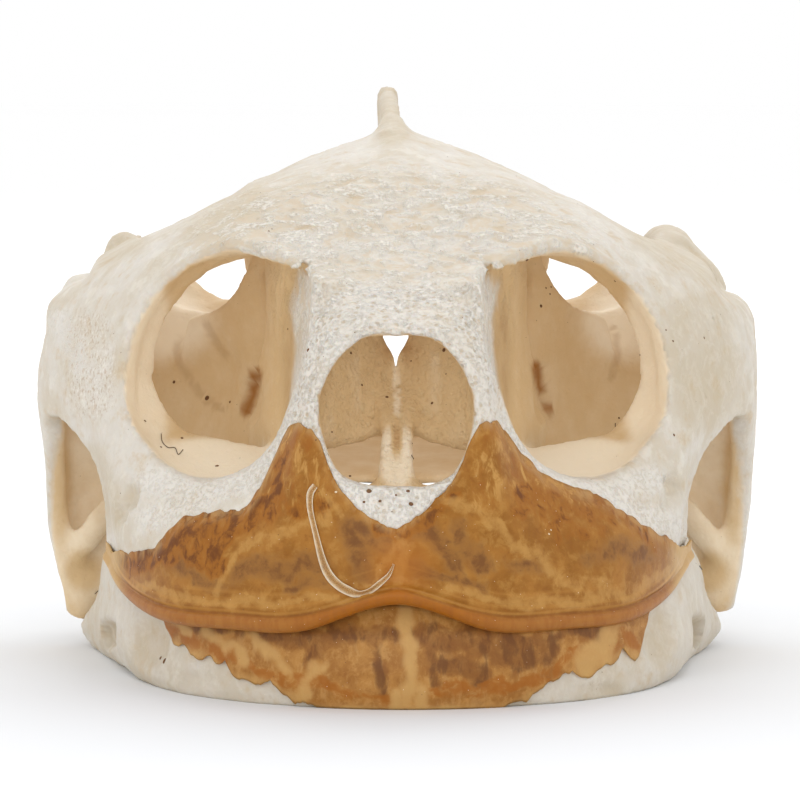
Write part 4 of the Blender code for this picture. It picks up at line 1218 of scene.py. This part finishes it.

# %% [markdown]
# ## Bone and horn as materials
# Colours are written as they look on a screen and turned into light values. Bone is cream, whiter and chalky where
# it is porous, and tan in its depths, partly its own colour and partly painted shade and bounced light. There it also
# has a painted glow, an emission that stands in for light coming through the thin plates from behind. Light sinks a
# little way into both bone and horn, which takes the hardness off their edges.

# %% Colours and material frame
def screen(red, green, blue):
    """A screen colour as light values."""
    values = [c / 255 for c in (red, green, blue)]
    return (*[v / 12.92 if v <= 0.04045 else ((v + 0.055) / 1.055) ** 2.4 for v in values], 1.0)


def material(name, build, constants, relief=0.4):
    """Build gives wires for sockets of the shader, and a height for its bump. Constants are plain values."""
    made = bpy.data.materials.new(name)
    made.use_nodes = True
    made.cycles.emission_sampling = "NONE"
    graph = Graph(made.node_tree)
    place = graph.scaled(graph.node("ShaderNodeTexCoord", {}, {}, 3), 1000)
    place = graph.vector("ADD", place, (0, MIDDLE_Y, 0))
    wires = build(graph, place)
    if "Height" in wires:
        height = {"Height": wires.pop("Height"), "Strength": relief, "Distance": 0.0001}
        wires["Normal"] = graph.node("ShaderNodeBump", {}, height)
    shader = graph.node("ShaderNodeBsdfPrincipled", {}, {**constants, **wires})
    graph.node("ShaderNodeOutputMaterial", {}, {0: shader})
    return made


def stored(graph, name):
    return graph.node("ShaderNodeAttribute", {"attribute_name": name}, {}, 2)


def layered(graph, colour, *layers):
    """Lays tones over a colour one after another, each with its own share."""
    for share, tone in layers:
        colour = graph.mix(share, colour, screen(*tone))
    return colour


# %% [markdown]
# The bone's marks are stored the same way. The seams are where its plates met as it grew. The slots inside the eye
# sockets are painted shade where openings lie behind, the shaded walls there are painted tan as shade, and the nose's
# inner walls are the most yellow of all, partly from painted shade and bounced light.

# %% Marks on the bone
def region(points, centre, radii, soft=0.4):
    """1 inside an oval region on either side of the head, fading to 0 at its edge."""
    folded = np.column_stack([abs(points[:, 0]), points[:, 1:]])
    return 1 - smooth_step(np.linalg.norm((folded - centre) / radii, axis=1), 1 - soft, 1)


points = points_of(cranium)
picture = in_picture(points)
hollow = np.empty(len(points), np.float32)
cranium.data.attributes["hollow"].data.foreach_get("value", hollow)
# Shut-in points and the shaded recess under each cheek count as inside, which is painted tan, partly as shade.
inside = np.maximum(smooth_step(hollow, 0.3, 0.44), region(points, (30.6, 8, 12), (3.8, 7, 13), 0.15))
SEAMS = [
    ([(179, 339), (177, 352), (179, 364), (188, 376), (200, 391), (206, 402), (224, 409)], 1, 6),
    ([(206, 323), (214, 338), (221, 350), (227, 356)], 1, 6), ([(614, 328), (618, 354), (611, 379)], 1, 6),
]  # fmt: skip
# The slots are painted shade: dark orange where openings lie behind the walls of the eye sockets.
SHADED_SLOTS = [([(256, 374), (252, 392), (246, 410)], 2, 10), ([(536, 366), (541, 388), (550, 412)], 1, 9)]
# The flanks are walls in shade inside the eye sockets, painted tan with the inside as painted shade.
FLANKS = [
    ([(276, 290), (283, 320), (286, 350), (282, 385), (272, 420)], 7, 5),
    ([(508, 290), (501, 320), (503, 350), (508, 385), (520, 420)], 7, 5),
]  # fmt: skip
WHITE = [
    ([(150, 478), (190, 492), (250, 476), (290, 446), (306, 400)], 8, 16),
    ([(506, 440), (545, 484), (610, 496), (650, 480)], 8, 16), ([(345, 498), (400, 505), (450, 492)], 12, 16),
    ([(322, 330), (306, 380)], 6, 12), ([(478, 330), (492, 380)], 6, 12), ([(150, 520), (200, 500)], 6, 14),
    ([(600, 500), (680, 530)], 6, 14), ([(60, 320), (80, 360)], 4, 16),
]  # fmt: skip
inside = np.maximum(inside, strokes(picture, *FLANKS) * region(points, (9, -20, 30), (6, 22, 16), 0.1))
marks = {
    "inside": inside,
    "seam": strokes(picture, *SEAMS) * inside,
    "slot": strokes(picture, *SHADED_SLOTS) * inside,
    "white": strokes(picture, *WHITE) * (1 - inside),
    "muzzle": region(points, (0, -34, 28), (20, 16, 16), 0.45),
    "brow": region(points, (0, -20, 41), (27, 32, 15), 0.5),
    "cheek": stroke(picture, [(88, 335), (92, 395)], 14, 20) * (1 - inside),
    # A darker, warmer tone: painted shade on the crest, the sides of the head and the edges of the roof.
    "shade_and_warmth": strokes(
        picture, ([(700, 320), (706, 400)], 18, 30), ([(205, 228), (250, 205)], 8, 26),
        ([(95, 455), (110, 520)], 6, 14), ([(388, 86), (392, 128)], 12, 12), ([(650, 228), (715, 270)], 12, 22),
        ([(105, 250), (135, 240)], 8, 12),
    ),
}
# How tan the bone is inside: 0 is cream, 1 is khaki and 2 is brown.
# The tan is partly the bone's own colour and partly painted shade and bounced light in the hollows.
TAN_REGIONS = [
    (0.2, (24.5, -14, 29), (4.4, 16, 12), 0.3), (0.5, (16, -22, 40.2), (8, 14, 2.6), 0.4),
    (1.25, (8.5, -20, 30), (3.6, 18, 11.5), 0.4), (0.0, (24, 8, 33.5), (8, 16, 7), 0.5),
    (0.0, (17, -16, 19.8), (9.5, 12, 3.4), 0.3), (0.95, (0, -26, 28), (9, 8, 7.4), 0.25),
    (1.25, (0, -23, 31.5), (4.5, 6, 3.2), 0.8), (0.7, (4.6, -17, 20.6), (6.6, 12.5, 3.0), 0.3),
    (0.3, (0, -31.0, 21.6), (2.3, 5.2, 4.4), 0.3), (1.6, (0, -28.5, 23.4), (0.75, 5.5, 2.9), 0.7),
    (0.45, (30.4, 9, 14), (5.4, 12, 12), 0.3), (0.8, (33.0, 9, 16), (1.4, 8, 7.5), 0.6),
    (1.05, (30.8, 7, 7.4), (2.8, 7, 3.0), 0.6),
]  # fmt: skip
tan = np.full(len(points), 0.85)
for amount, *oval in TAN_REGIONS:
    tan += (amount - tan) * region(points, *oval)
# On the nose's back wall the tan is also painted shade: darker beside the middle line and lighter across the middle of
# each plate, as light falls on its curve, and lighter along the thin seam below the slit.
wall = region(points, (0, -22, 28), (9, 7, 8), 0.2)
tan += wall * (
    0.15 * strokes(picture, ([(378, 330), (380, 400)], 6, 12), ([(412, 330), (412, 392)], 6, 12))
    - 0.25 * strokes(picture, ([(350, 345), (352, 430)], 5, 10), ([(440, 350), (440, 420)], 5, 10))
    - 0.7 * stroke(picture, [(396, 346), (397, 395), (397, 436)], 1, 4)
)  # fmt: skip
marks["tan"] = tan
# How strongly the inside glows: a painted glow that stands in for light coming through the plates from behind.
LIT_REGIONS = [
    (0.3, (4.6, -17, 20.6), (7.5, 12.5, 3.4), 0.3), (-0.14, (8.5, -20, 30), (3.6, 18, 12), 0.4),
    (-0.08, (18, -17, 21), (10, 14, 5), 0.4), (-0.06, (30.4, 9, 14), (5.4, 12, 12), 0.3),
]  # fmt: skip
marks["lit"] = 0.24 + sum(amount * region(points, *oval) for amount, *oval in LIT_REGIONS)
for name, values in marks.items():
    store(cranium, name, values)
# The lower jaw gets an even share of that darker, warmer tone.
store(lower_jaw, "shade_and_warmth", np.full(len(points_of(lower_jaw)), 0.4))
print("bone marks:", sorted(marks))


# %% Bone
def bone_build(graph, place):
    inside, dent_shade, seam, slot = (stored(graph, name) for name in ("inside", "dent_shade", "seam", "slot"))
    white, muzzle, brow, cheek = (stored(graph, name) for name in ("white", "muzzle", "brow", "cheek"))
    broad = graph.noise(place, 0.13, 3.0, 0.55, 0.5)
    warm = graph.noise(place, 0.36, 4.0, 0.6)
    colour = graph.mix(graph.ramp(broad, 0.36, 0.64), screen(213, 206, 195), screen(204, 193, 175))
    colour = layered(
        graph, colour,
        (graph.ramp(warm, 0.54, 0.72) * 0.65, (198, 174, 138)),
        (graph.ramp(warm, 0.46, 0.34) * 0.5, (225, 219, 207)),
        # Painted shade from the stored darker, warmer tone.
        (stored(graph, "shade_and_warmth") * 0.55, (192, 176, 148)),
    )
    # White lace over the brow with smooth tan islands in it, and a white, pitted muzzle.
    net = graph.noise(place, 0.5, 4.0, 0.6, 1.0)
    lace = graph.ramp(net, 0.46, 0.6)
    fine = graph.noise(place, 2.6, 4.0, 0.65)
    threads = lace * graph.ramp(fine, 0.36, 0.56)
    colour = layered(
        graph, colour,
        (graph.ramp(net, 0.48, 0.36) * (0.15 + 0.55 * brow), (204, 187, 162)),
        (threads * (0.2 + 0.7 * brow), (230, 224, 213)),
    )
    powder = graph.ramp(fine, 0.36, 0.54)
    pits = graph.ramp(graph.cells(place, 1.3), 0.1, 0.38, 1.0, 0.0)
    colour = layered(
        graph, colour,
        (graph.math("MAXIMUM", muzzle * 0.7, white * 0.85) * (0.3 + 0.5 * powder), (228, 223, 215)),
        (pits * (0.08 + 0.4 * muzzle), (190, 164, 124)),
        (cheek * graph.ramp(fine, 0.52, 0.64) * 0.45, (164, 126, 82)),
        (cheek * graph.ramp(fine, 0.46, 0.34) * 0.6, (236, 231, 222)),
        # Painted shade darkens the dents.
        (dent_shade * 0.4, (190, 168, 130)),
    )
    # Inside, the bone is tan, partly its own colour and partly painted shade and bounced light, and a painted glow
    # stands in for light through its thin plates.
    tan = stored(graph, "tan") + (warm - 0.5) * 0.6
    within = graph.mix(graph.ramp(tan, 0.0, 1.0), screen(226, 213, 190), screen(196, 168, 126))
    within = graph.mix(graph.ramp(tan, 1.0, 2.0), within, screen(144, 88, 24))
    colour = graph.mix(inside, colour, within)
    colour = layered(
        graph, colour,
        (graph.ramp(seam, 0.1, 1.0) * 0.3, (150, 112, 68)),
        # Painted shade in the slots.
        (graph.ramp(slot + (warm - 0.5) * 0.4, 0.15, 1.05) * 0.9, (146, 90, 22)),
    )
    height = fine * 0.7 + threads * brow * 1.4 - pits * (0.3 + muzzle * 1.2) + powder * (muzzle + white) * 0.6
    # The glow is painted light: an emission that stands in for light coming through the thin plates.
    glow = graph.mix(inside * stored(graph, "lit") * (1 - slot * 0.4), (0, 0, 0, 1), colour)
    return {"Base Color": colour, "Roughness": 0.5 + fine * 0.2, "Height": height, "Emission Color": glow}


BONE_LIGHT = {
    "Subsurface Weight": 0.15, "Subsurface Radius": (1.0, 0.62, 0.35), "Subsurface Scale": 0.0005,
    "Specular IOR Level": 0.3, "Emission Strength": 1.0,
}  # fmt: skip
bone_material = material("dry_bone", bone_build, BONE_LIGHT, 0.7)


# %% Horn of the upper beak
def upper_build(graph, place):
    rise, fall = stored(graph, "rise"), stored(graph, "fall")
    veins, clouds, rust, wings = (stored(graph, name) for name in ("veins", "clouds", "rust", "wings"))
    side = abs(graph.node("ShaderNodeSeparateXYZ", {}, {0: place}))
    broad = graph.noise(place, 0.35, 3.0, 0.55, 0.4)
    colour = graph.mix(graph.ramp(broad, 0.35, 0.65), screen(164, 110, 42), screen(144, 92, 26))
    puffs = graph.noise(place, 0.5, 4.0, 0.6, 0.5)
    curds = graph.noise(place, 0.85, 5.0, 0.7, 0.3)
    colour = layered(
        graph, colour,
        (graph.ramp(curds, 0.48, 0.66) * 0.5, (182, 133, 64)),
        (graph.ramp(curds, 0.46, 0.32) * 0.55, (134, 80, 20)),
        (graph.ramp(clouds + (puffs - 0.5) * 1.2 + (curds - 0.5) * 1.2, 0.2, 0.95) * 0.7, (148, 102, 48)),
        (graph.ramp(clouds + (puffs - 0.5) * 1.6 + (curds - 0.5) * 1.6, 0.7, 1.35) * 0.75, (106, 62, 26)),
    )
    streaks = graph.noise(graph.vector("MULTIPLY", place, (1.2, 1.0, 0.55)), 0.7, 4.0, 0.6, 0.6)
    colour = layered(
        graph, colour,
        (wings * graph.ramp(streaks, 0.48, 0.34) * 0.8, (196, 148, 80)),
        (wings * graph.ramp(streaks, 0.48, 0.66) * 0.8, (150, 90, 24)),
    )
    mottle = graph.noise(graph.vector("MULTIPLY", place, (1.1, 1.0, 0.8)), 0.8, 4.0, 0.6, 0.4)
    colour = layered(
        graph, colour,
        (graph.ramp(rust + (mottle - 0.5) * 2.0, 0.25, 0.9) * 0.85, (154, 94, 22)),
        (graph.ramp(rust + (mottle - 0.5) * 3.0, 0.7, 1.35) * 0.9, (104, 56, 12)),
        (graph.ramp(veins + (curds - 0.5) * 1.4, 0.35, 1.15) * 0.7, (188, 141, 74)),
    )
    edge = graph.ramp(fall, 0.0, 1.1, 1.0, 0.0) * graph.ramp(streaks, 0.4, 0.6)
    colour = graph.mix(edge * 0.5, colour, screen(196, 158, 104))
    # Faint growth lines follow the lip.
    lines = graph.noise(graph.node("ShaderNodeCombineXYZ", {}, {0: rise * 1.6, 1: side * 0.05}), 1.0, 2.0)
    colour = graph.mix(graph.ramp(lines, 0.5, 0.66) * graph.ramp(rise, 5.0, 2.5) * 0.35, colour, screen(190, 136, 64))
    # Painted highlight and shade at the lip: a light line on the small ridge above it, and a dark line in the groove
    # below that ridge.
    line = graph.ramp(abs(rise - 1.55), 0.03, 0.22, 1.0, 0.0)
    colour = graph.mix(line * 0.45, colour, screen(196, 142, 70))
    under = graph.ramp(abs(rise - 1.25), 0.04, 0.16, 1.0, 0.0)
    colour = graph.mix(under * 0.5, colour, screen(140, 80, 26))
    lip = graph.ramp(rise, 1.05, 1.25, 1.0, 0.0)
    ribs = graph.noise(graph.vector("MULTIPLY", place, (2.4, 1.0, 0.6)), 0.8, 3.0)
    lip_tone = graph.mix(graph.ramp(side, 4.0, 12.0), screen(164, 96, 20), screen(166, 108, 46))
    lip_tone = graph.mix(graph.ramp(ribs, 0.4, 0.62) * 0.5, lip_tone, screen(150, 88, 30))
    colour = graph.mix(lip * 0.9, colour, lip_tone)
    # A painted glow: orange where light shines through the thin horn at the beak's notch.
    glow = graph.blob(place, (0.4, -39, 13.2), (4.6, 8, 4.4), 0.9)
    colour = layered(
        graph, colour,
        (glow * 0.6, (176, 104, 24)),
        (graph.ramp(side, 24.6, 26.6) * 0.75, (206, 170, 110)),
    )
    fine = graph.noise(place, 2.4, 3.0, 0.6)
    height = fine * 0.5 + lines * 0.5 + curds * 0.8 + mottle * rust * 1.5 + streaks * wings
    return {"Base Color": colour, "Roughness": 0.32 + fine * 0.18 + rust * 0.12, "Height": height}


HORN_LIGHT = {
    "Subsurface Weight": 0.1, "Subsurface Radius": (1.0, 0.55, 0.2), "Subsurface Scale": 0.0008,
    "Coat Weight": 0.03, "Coat Roughness": 0.3, "Specular IOR Level": 0.2,
}  # fmt: skip
upper_material = material("upper_horn", upper_build, HORN_LIGHT)


# %% Horn of the lower beak
def lower_build(graph, place):
    rise = stored(graph, "rise")
    pale, dark, rust = (stored(graph, name) for name in ("pale", "dark", "rust"))
    puffs = graph.noise(graph.vector("MULTIPLY", place, (0.9, 0.7, 0.8)), 0.6, 5.0, 0.62, 0.5)
    colour = graph.mix(graph.ramp(puffs, 0.35, 0.62), screen(178, 127, 64), screen(156, 104, 46))
    streaks = graph.noise(graph.vector("MULTIPLY", place, (1.2, 0.6, 0.5)), 0.8, 4.0, 0.62, 0.4)
    curds = graph.noise(place, 0.9, 5.0, 0.7, 0.3)
    colour = layered(
        graph, colour,
        (graph.ramp(curds, 0.48, 0.66) * 0.5, (198, 150, 86)),
        (graph.ramp(curds, 0.46, 0.32) * 0.5, (134, 82, 34)),
        (graph.ramp(streaks, 0.5, 0.66) * 0.4, (196, 152, 92)),
        # Dark streaks, and painted shadow under the upper lip.
        (graph.ramp(dark + (puffs - 0.5) * 2.0, 0.3, 1.1) * 0.75, (132, 84, 38)),
        (graph.ramp(dark + (streaks - 0.5) * 3.0, 0.7, 1.4) * 0.7, (100, 58, 26)),
    )
    mottle = graph.noise(graph.vector("MULTIPLY", place, (0.8, 0.8, 1.1)), 0.85, 4.0, 0.62, 0.6)
    colour = layered(
        graph, colour,
        (graph.ramp(rust + (mottle - 0.5) * 2.2, 0.5, 1.1) * 0.8, (160, 94, 24)),
        (graph.ramp(pale + (puffs - 0.5) * 1.6, 0.2, 1.1) * 0.8, (200, 158, 96)),
        (graph.ramp(rise, 0.9, 0.1) * 0.4, (200, 160, 98)),
    )
    fine = graph.noise(place, 2.2, 3.0, 0.6)
    return {
        "Base Color": colour, "Roughness": 0.38 + fine * 0.16, "Height": streaks * 0.8 + fine * 0.5 + mottle * rust,
    }


lower_material = material("lower_horn", lower_build, HORN_LIGHT)


# %% Flake, fibres and specks
def plain(colour, darker):
    def build(graph, place):
        fine = graph.noise(place, 2.0, 2.0)
        return {"Base Color": graph.mix(fine, screen(*colour), screen(*darker)), "Height": fine}

    return build


def flake_build(graph, place):
    rim = stored(graph, "rim")
    crumbs = graph.noise(place, 1.6, 3.0, 0.6)
    # The pale rim is partly the thin horn's own colour and partly painted glints along the curled edges.
    colour = graph.mix(rim, screen(206, 158, 98), screen(240, 226, 200))
    height = {"Base Color": colour, "Height": crumbs}
    return {**height, "Alpha": graph.ramp(rim * 0.7 + crumbs * 0.8, 0.3, 1.0, 0.3, 0.9)}


flake_material = material("peeled_horn", flake_build, HORN_LIGHT, 0.3)
fibre_material = material("dust_fibre", plain((126, 106, 80), (96, 80, 62)), {"Roughness": 0.8}, 0.2)
crumb_material = material("pale_crumb", plain((236, 222, 196), (214, 190, 150)), {"Roughness": 0.5}, 0.2)
speck_material = material("dust_speck", plain((92, 62, 36), (128, 90, 54)), {"Roughness": 0.8}, 0.2)

# %% [markdown]
# ## The flake, the fibres and the dust
# A sliver of horn has peeled on the upper beak and curls round, paler than the rest. A few dust fibres lie in the
# sockets and by the jaw joint, dark specks are scattered over the bone, and pale crumbs over the horn. The flake is a
# ribbon with turned-up edges. The fibres are curves run through a geometry tree that gives them a round profile. The
# specks and crumbs are copies of one tiny flattened ball.

# %% Lay lines on the surface
piece_tree = tree_of(cranium, lower_jaw, upper_beak, lower_beak)


def laid(picture_points, lift, fine=10):
    """A line that lies on what the camera sees along a row of picture points, with the surface's facing."""
    places, facings = [], []
    for across, down in spline(picture_points, fine * len(picture_points)):
        place, normal = seen_at(piece_tree, across, down)
        if place is not None and (not places or (place - places[-1]).length < 3):
            places.append(place + normal * lift)
            facings.append(normal)
    places, facings = np.array(places), np.array(facings)
    for _ in range(6):
        places[1:-1] = (places[:-2] + 2 * places[1:-1] + places[2:]) / 4
        facings[1:-1] = (facings[:-2] + 2 * facings[1:-1] + facings[2:]) / 4
    return places, unit(facings)


# %% The peeled flake
def ribbon(name, picture_points, widths, thick, curl, lift):
    line, facing = laid(picture_points, lift)
    along = unit(np.gradient(line, axis=0))
    side = unit(np.cross(along, facing))
    half = spline(np.array(widths, float)[:, None], len(line))
    across = np.linspace(-1, 1, 9)
    rings = []
    for k in range(len(line)):
        rim = curl * abs(across) ** 3
        top = line[k] + np.outer(across * half[k], side[k]) + np.outer(rim + thick, facing[k])
        low = line[k] + np.outer(across * half[k], side[k]) + np.outer(rim, facing[k])
        rings.append(np.concatenate([top, low[::-1]]))
    strip = tube(name, rings)
    edge = np.concatenate([abs(across), abs(across[::-1])])
    store(strip, "rim", np.tile(edge**2, len(line)))
    return strip


FLAKE = [
    (316, 486), (311, 494), (311, 510), (315, 528), (319, 545), (323, 560), (329, 574), (339, 585), (352, 592),
    (364, 592), (376, 586), (388, 576), (394, 564),
]
FLAKE_WIDTHS = [0.3, 0.34, 0.28, 0.26, 0.3, 0.36, 0.42, 0.42, 0.4, 0.34, 0.28, 0.2, 0.06]
flake = ribbon("horn_flake", FLAKE, FLAKE_WIDTHS, 0.05, 0.12, 0.02)
print("flake:", len(flake.data.polygons), "faces")


# %% Dust fibres
def fibre(name, picture_points, radius=0.045):
    line, _ = laid(picture_points, 0.05)
    curve = bpy.data.curves.new(name, "CURVE")
    curve.dimensions = "3D"
    path = curve.splines.new("POLY")
    path.points.add(len(line) - 1)
    path.points.foreach_set("co", np.column_stack([line, np.ones(len(line))]).ravel())

    def build(graph, wires):
        ring = graph.node("GeometryNodeCurvePrimitiveCircle", {}, {"Resolution": 8, "Radius": wires["Radius"]})
        names = {"Curve": wires["Geometry"], "Profile Curve": ring, "Fill Caps": True}
        return graph.node("GeometryNodeCurveToMesh", {}, names)

    return through_geometry(linked(name, curve), name, {"Radius": radius}, build, fibre_material)


FIBRES = [
    [(161, 434), (162, 442), (168, 448), (175, 448), (178, 455), (183, 450)],
    [(95, 594), (101, 588), (104, 586), (107, 591)],
    [(615, 423), (615, 429), (615, 436)],
    [(411, 455), (416, 464), (421, 468)],
    [(699, 566), (706, 576), (714, 587)],
]
fibres = joined("dust_fibres", [facing_out(fibre("fibre_%d" % k, path)) for k, path in enumerate(FIBRES)])
print("fibres:", len(fibres.data.polygons), "faces")

# %% Specks of dust
SPECKS = [
    (444, 350, 0.24), (308, 350, 0.2), (351, 353, 0.16), (411, 361, 0.1), (387, 397, 0.17), (432, 403, 0.16),
    (332, 432, 0.12), (174, 382, 0.2), (207, 398, 0.3), (230, 402, 0.16), (145, 421, 0.16), (288, 329, 0.13),
    (541, 306, 0.2), (527, 260, 0.2), (704, 338, 0.16), (673, 341, 0.13), (615, 281, 0.14), (182, 438, 0.16),
    (217, 466, 0.22), (165, 661, 0.32), (161, 658, 0.2), (619, 418, 0.14), (674, 435, 0.17), (551, 287, 0.12),
    (546, 288, 0.12), (550, 294, 0.12), (362, 385, 0.13), (316, 440, 0.1), (369, 491, 0.27), (408, 491, 0.2),
    (411, 504, 0.25), (380, 501, 0.17), (364, 502, 0.16), (396, 495, 0.12), (350, 476, 0.13), (446, 374, 0.1),
    (269, 231, 0.1), (272, 229, 0.09), (640, 355, 0.1), (666, 330, 0.1), (161, 447, 0.13),
]


def sprinkle(name, places, extra, seed, field, sizes, tone):
    """Flattened balls on the surface: some at known places in the picture, and some at random ones in a field."""
    rng = np.random.default_rng(seed)
    spots = places + [(*rng.uniform(*field), rng.uniform(*sizes)) for _ in range(extra)]
    found = [(*seen_at(piece_tree, across, down), size) for across, down, size in spots]
    found = [(place, normal, size) for place, normal, size in found if place is not None]
    cloud = new_object(name, [tuple(place) for place, _, _ in found], [])
    store(cloud, "size", [size for _, _, size in found])
    facing = cloud.data.attributes.new("facing", "FLOAT_VECTOR", "POINT")
    facing.data.foreach_set("vector", np.array([normal for _, normal, _ in found], np.float32).ravel())

    def build(graph, wires):
        grain = graph.node("GeometryNodeMeshIcoSphere", {}, {"Radius": 1.0, "Subdivisions": 2})
        size, facing = named(graph, "size"), named(graph, "facing", "FLOAT_VECTOR")
        turn = graph.node("FunctionNodeAlignRotationToVector", {"axis": "Z"}, {"Vector": facing})
        shape = {0: size * 0.9, 1: size * 0.7, 2: size * wires["Flatness"]}
        shape = graph.node("ShaderNodeCombineXYZ", {}, shape)
        points = graph.node("GeometryNodeMeshToPoints", {}, {"Mesh": wires["Geometry"]})
        names = {"Points": points, "Instance": grain, "Rotation": turn, "Scale": shape}
        return graph.node("GeometryNodeInstanceOnPoints", {}, names)

    return through_geometry(cloud, name + "_grains", {"Flatness": 0.45}, build, tone)


specks = sprinkle("dust_specks", SPECKS, 130, 21, ((60, 140), (740, 700)), (0.03, 0.065), speck_material)
crumbs = sprinkle(
    "pale_crumbs", [(549, 534, 0.12), (551, 530, 0.1), (336, 492, 0.14)], 170, 34, ((130, 470), (690, 700)),
    (0.02, 0.05), crumb_material,
)
print("specks:", len(specks.data.polygons), "faces,", "crumbs:", len(crumbs.data.polygons), "faces")

# %% [markdown]
# ## Finish, floor and light
# Each piece is scaled to metres, gets its material and rides on the part's only body. The floor is pale, with a
# painted shadow that makes it a little darker and cooler round the skull.
# One large soft light stands high behind the skull, so the shadow falls forward, soft and short. A second, weaker one
# stands low in front and fills the face, and the white world around does the rest, as in a light tent.

# %% Finish the pieces
def finish(obj, finish_material, slot, *nodes):
    with edited(obj.data) as shape:
        bmesh.ops.translate(shape, vec=(0, -MIDDLE_Y, 0), verts=shape.verts)
        bmesh.ops.scale(shape, vec=(MM, MM, MM), verts=shape.verts)
    obj.data.materials.clear()
    obj.data.materials.append(finish_material)
    obj.data.shade_smooth()
    obj.name = obj.name if not nodes else nodes[0] + "_detailed"
    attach(obj, "root")
    for node in nodes:
        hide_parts(node)


finish(cranium, bone_material, "cranium_bone", "cranium")
finish(lower_jaw, bone_material, "jaw_bone", "lower_jaw")
finish(upper_beak, upper_material, "upper_horn", "upper_beak")
finish(lower_beak, lower_material, "lower_horn", "lower_beak")
finish(flake, flake_material, "upper_horn")
finish(fibres, fibre_material, "cranium_bone")
finish(specks, speck_material, "cranium_bone")
finish(crumbs, crumb_material, "upper_horn")

# %% Floor and lights
floor = new_object("floor", [(-4, -4, 0), (4, -4, 0), (4, 4, 0), (-4, 4, 0)], [(0, 1, 2, 3)])


def floor_build(graph, place):
    away = graph.vector("LENGTH", place, output=1)
    # Painted shadow: the floor is a little darker and cooler near the skull and white further out.
    return {"Base Color": graph.mix(graph.ramp(away, 50, 170), screen(238, 240, 243), screen(255, 255, 255))}


floor.data.materials.append(material("pale_floor", floor_build, {"Roughness": 0.9}))

world = bpy.data.worlds.new("studio")
world.use_nodes = True
world.node_tree.nodes["Background"].inputs[0].default_value = (1, 1, 1, 1)
world.node_tree.nodes["Background"].inputs[1].default_value = 1.0
bpy.context.scene.world = world
bpy.context.scene.view_settings.view_transform = "Standard"


def soft_light(name, place, aim, size, power):
    light = linked(name, bpy.data.lights.new(name, "AREA"))
    light.data.size = size
    light.data.energy = power
    light.location = place
    light.rotation_euler = (Vector(aim) - Vector(place)).to_track_quat("-Z", "Y").to_euler()


soft_light("top", (0.06, 0.58, 0.72), (0, 0, 0), size=0.6, power=2.2)
soft_light("front", (-0.1, -0.9, 0.1), (0, 0, 0.02), size=0.6, power=1.6)
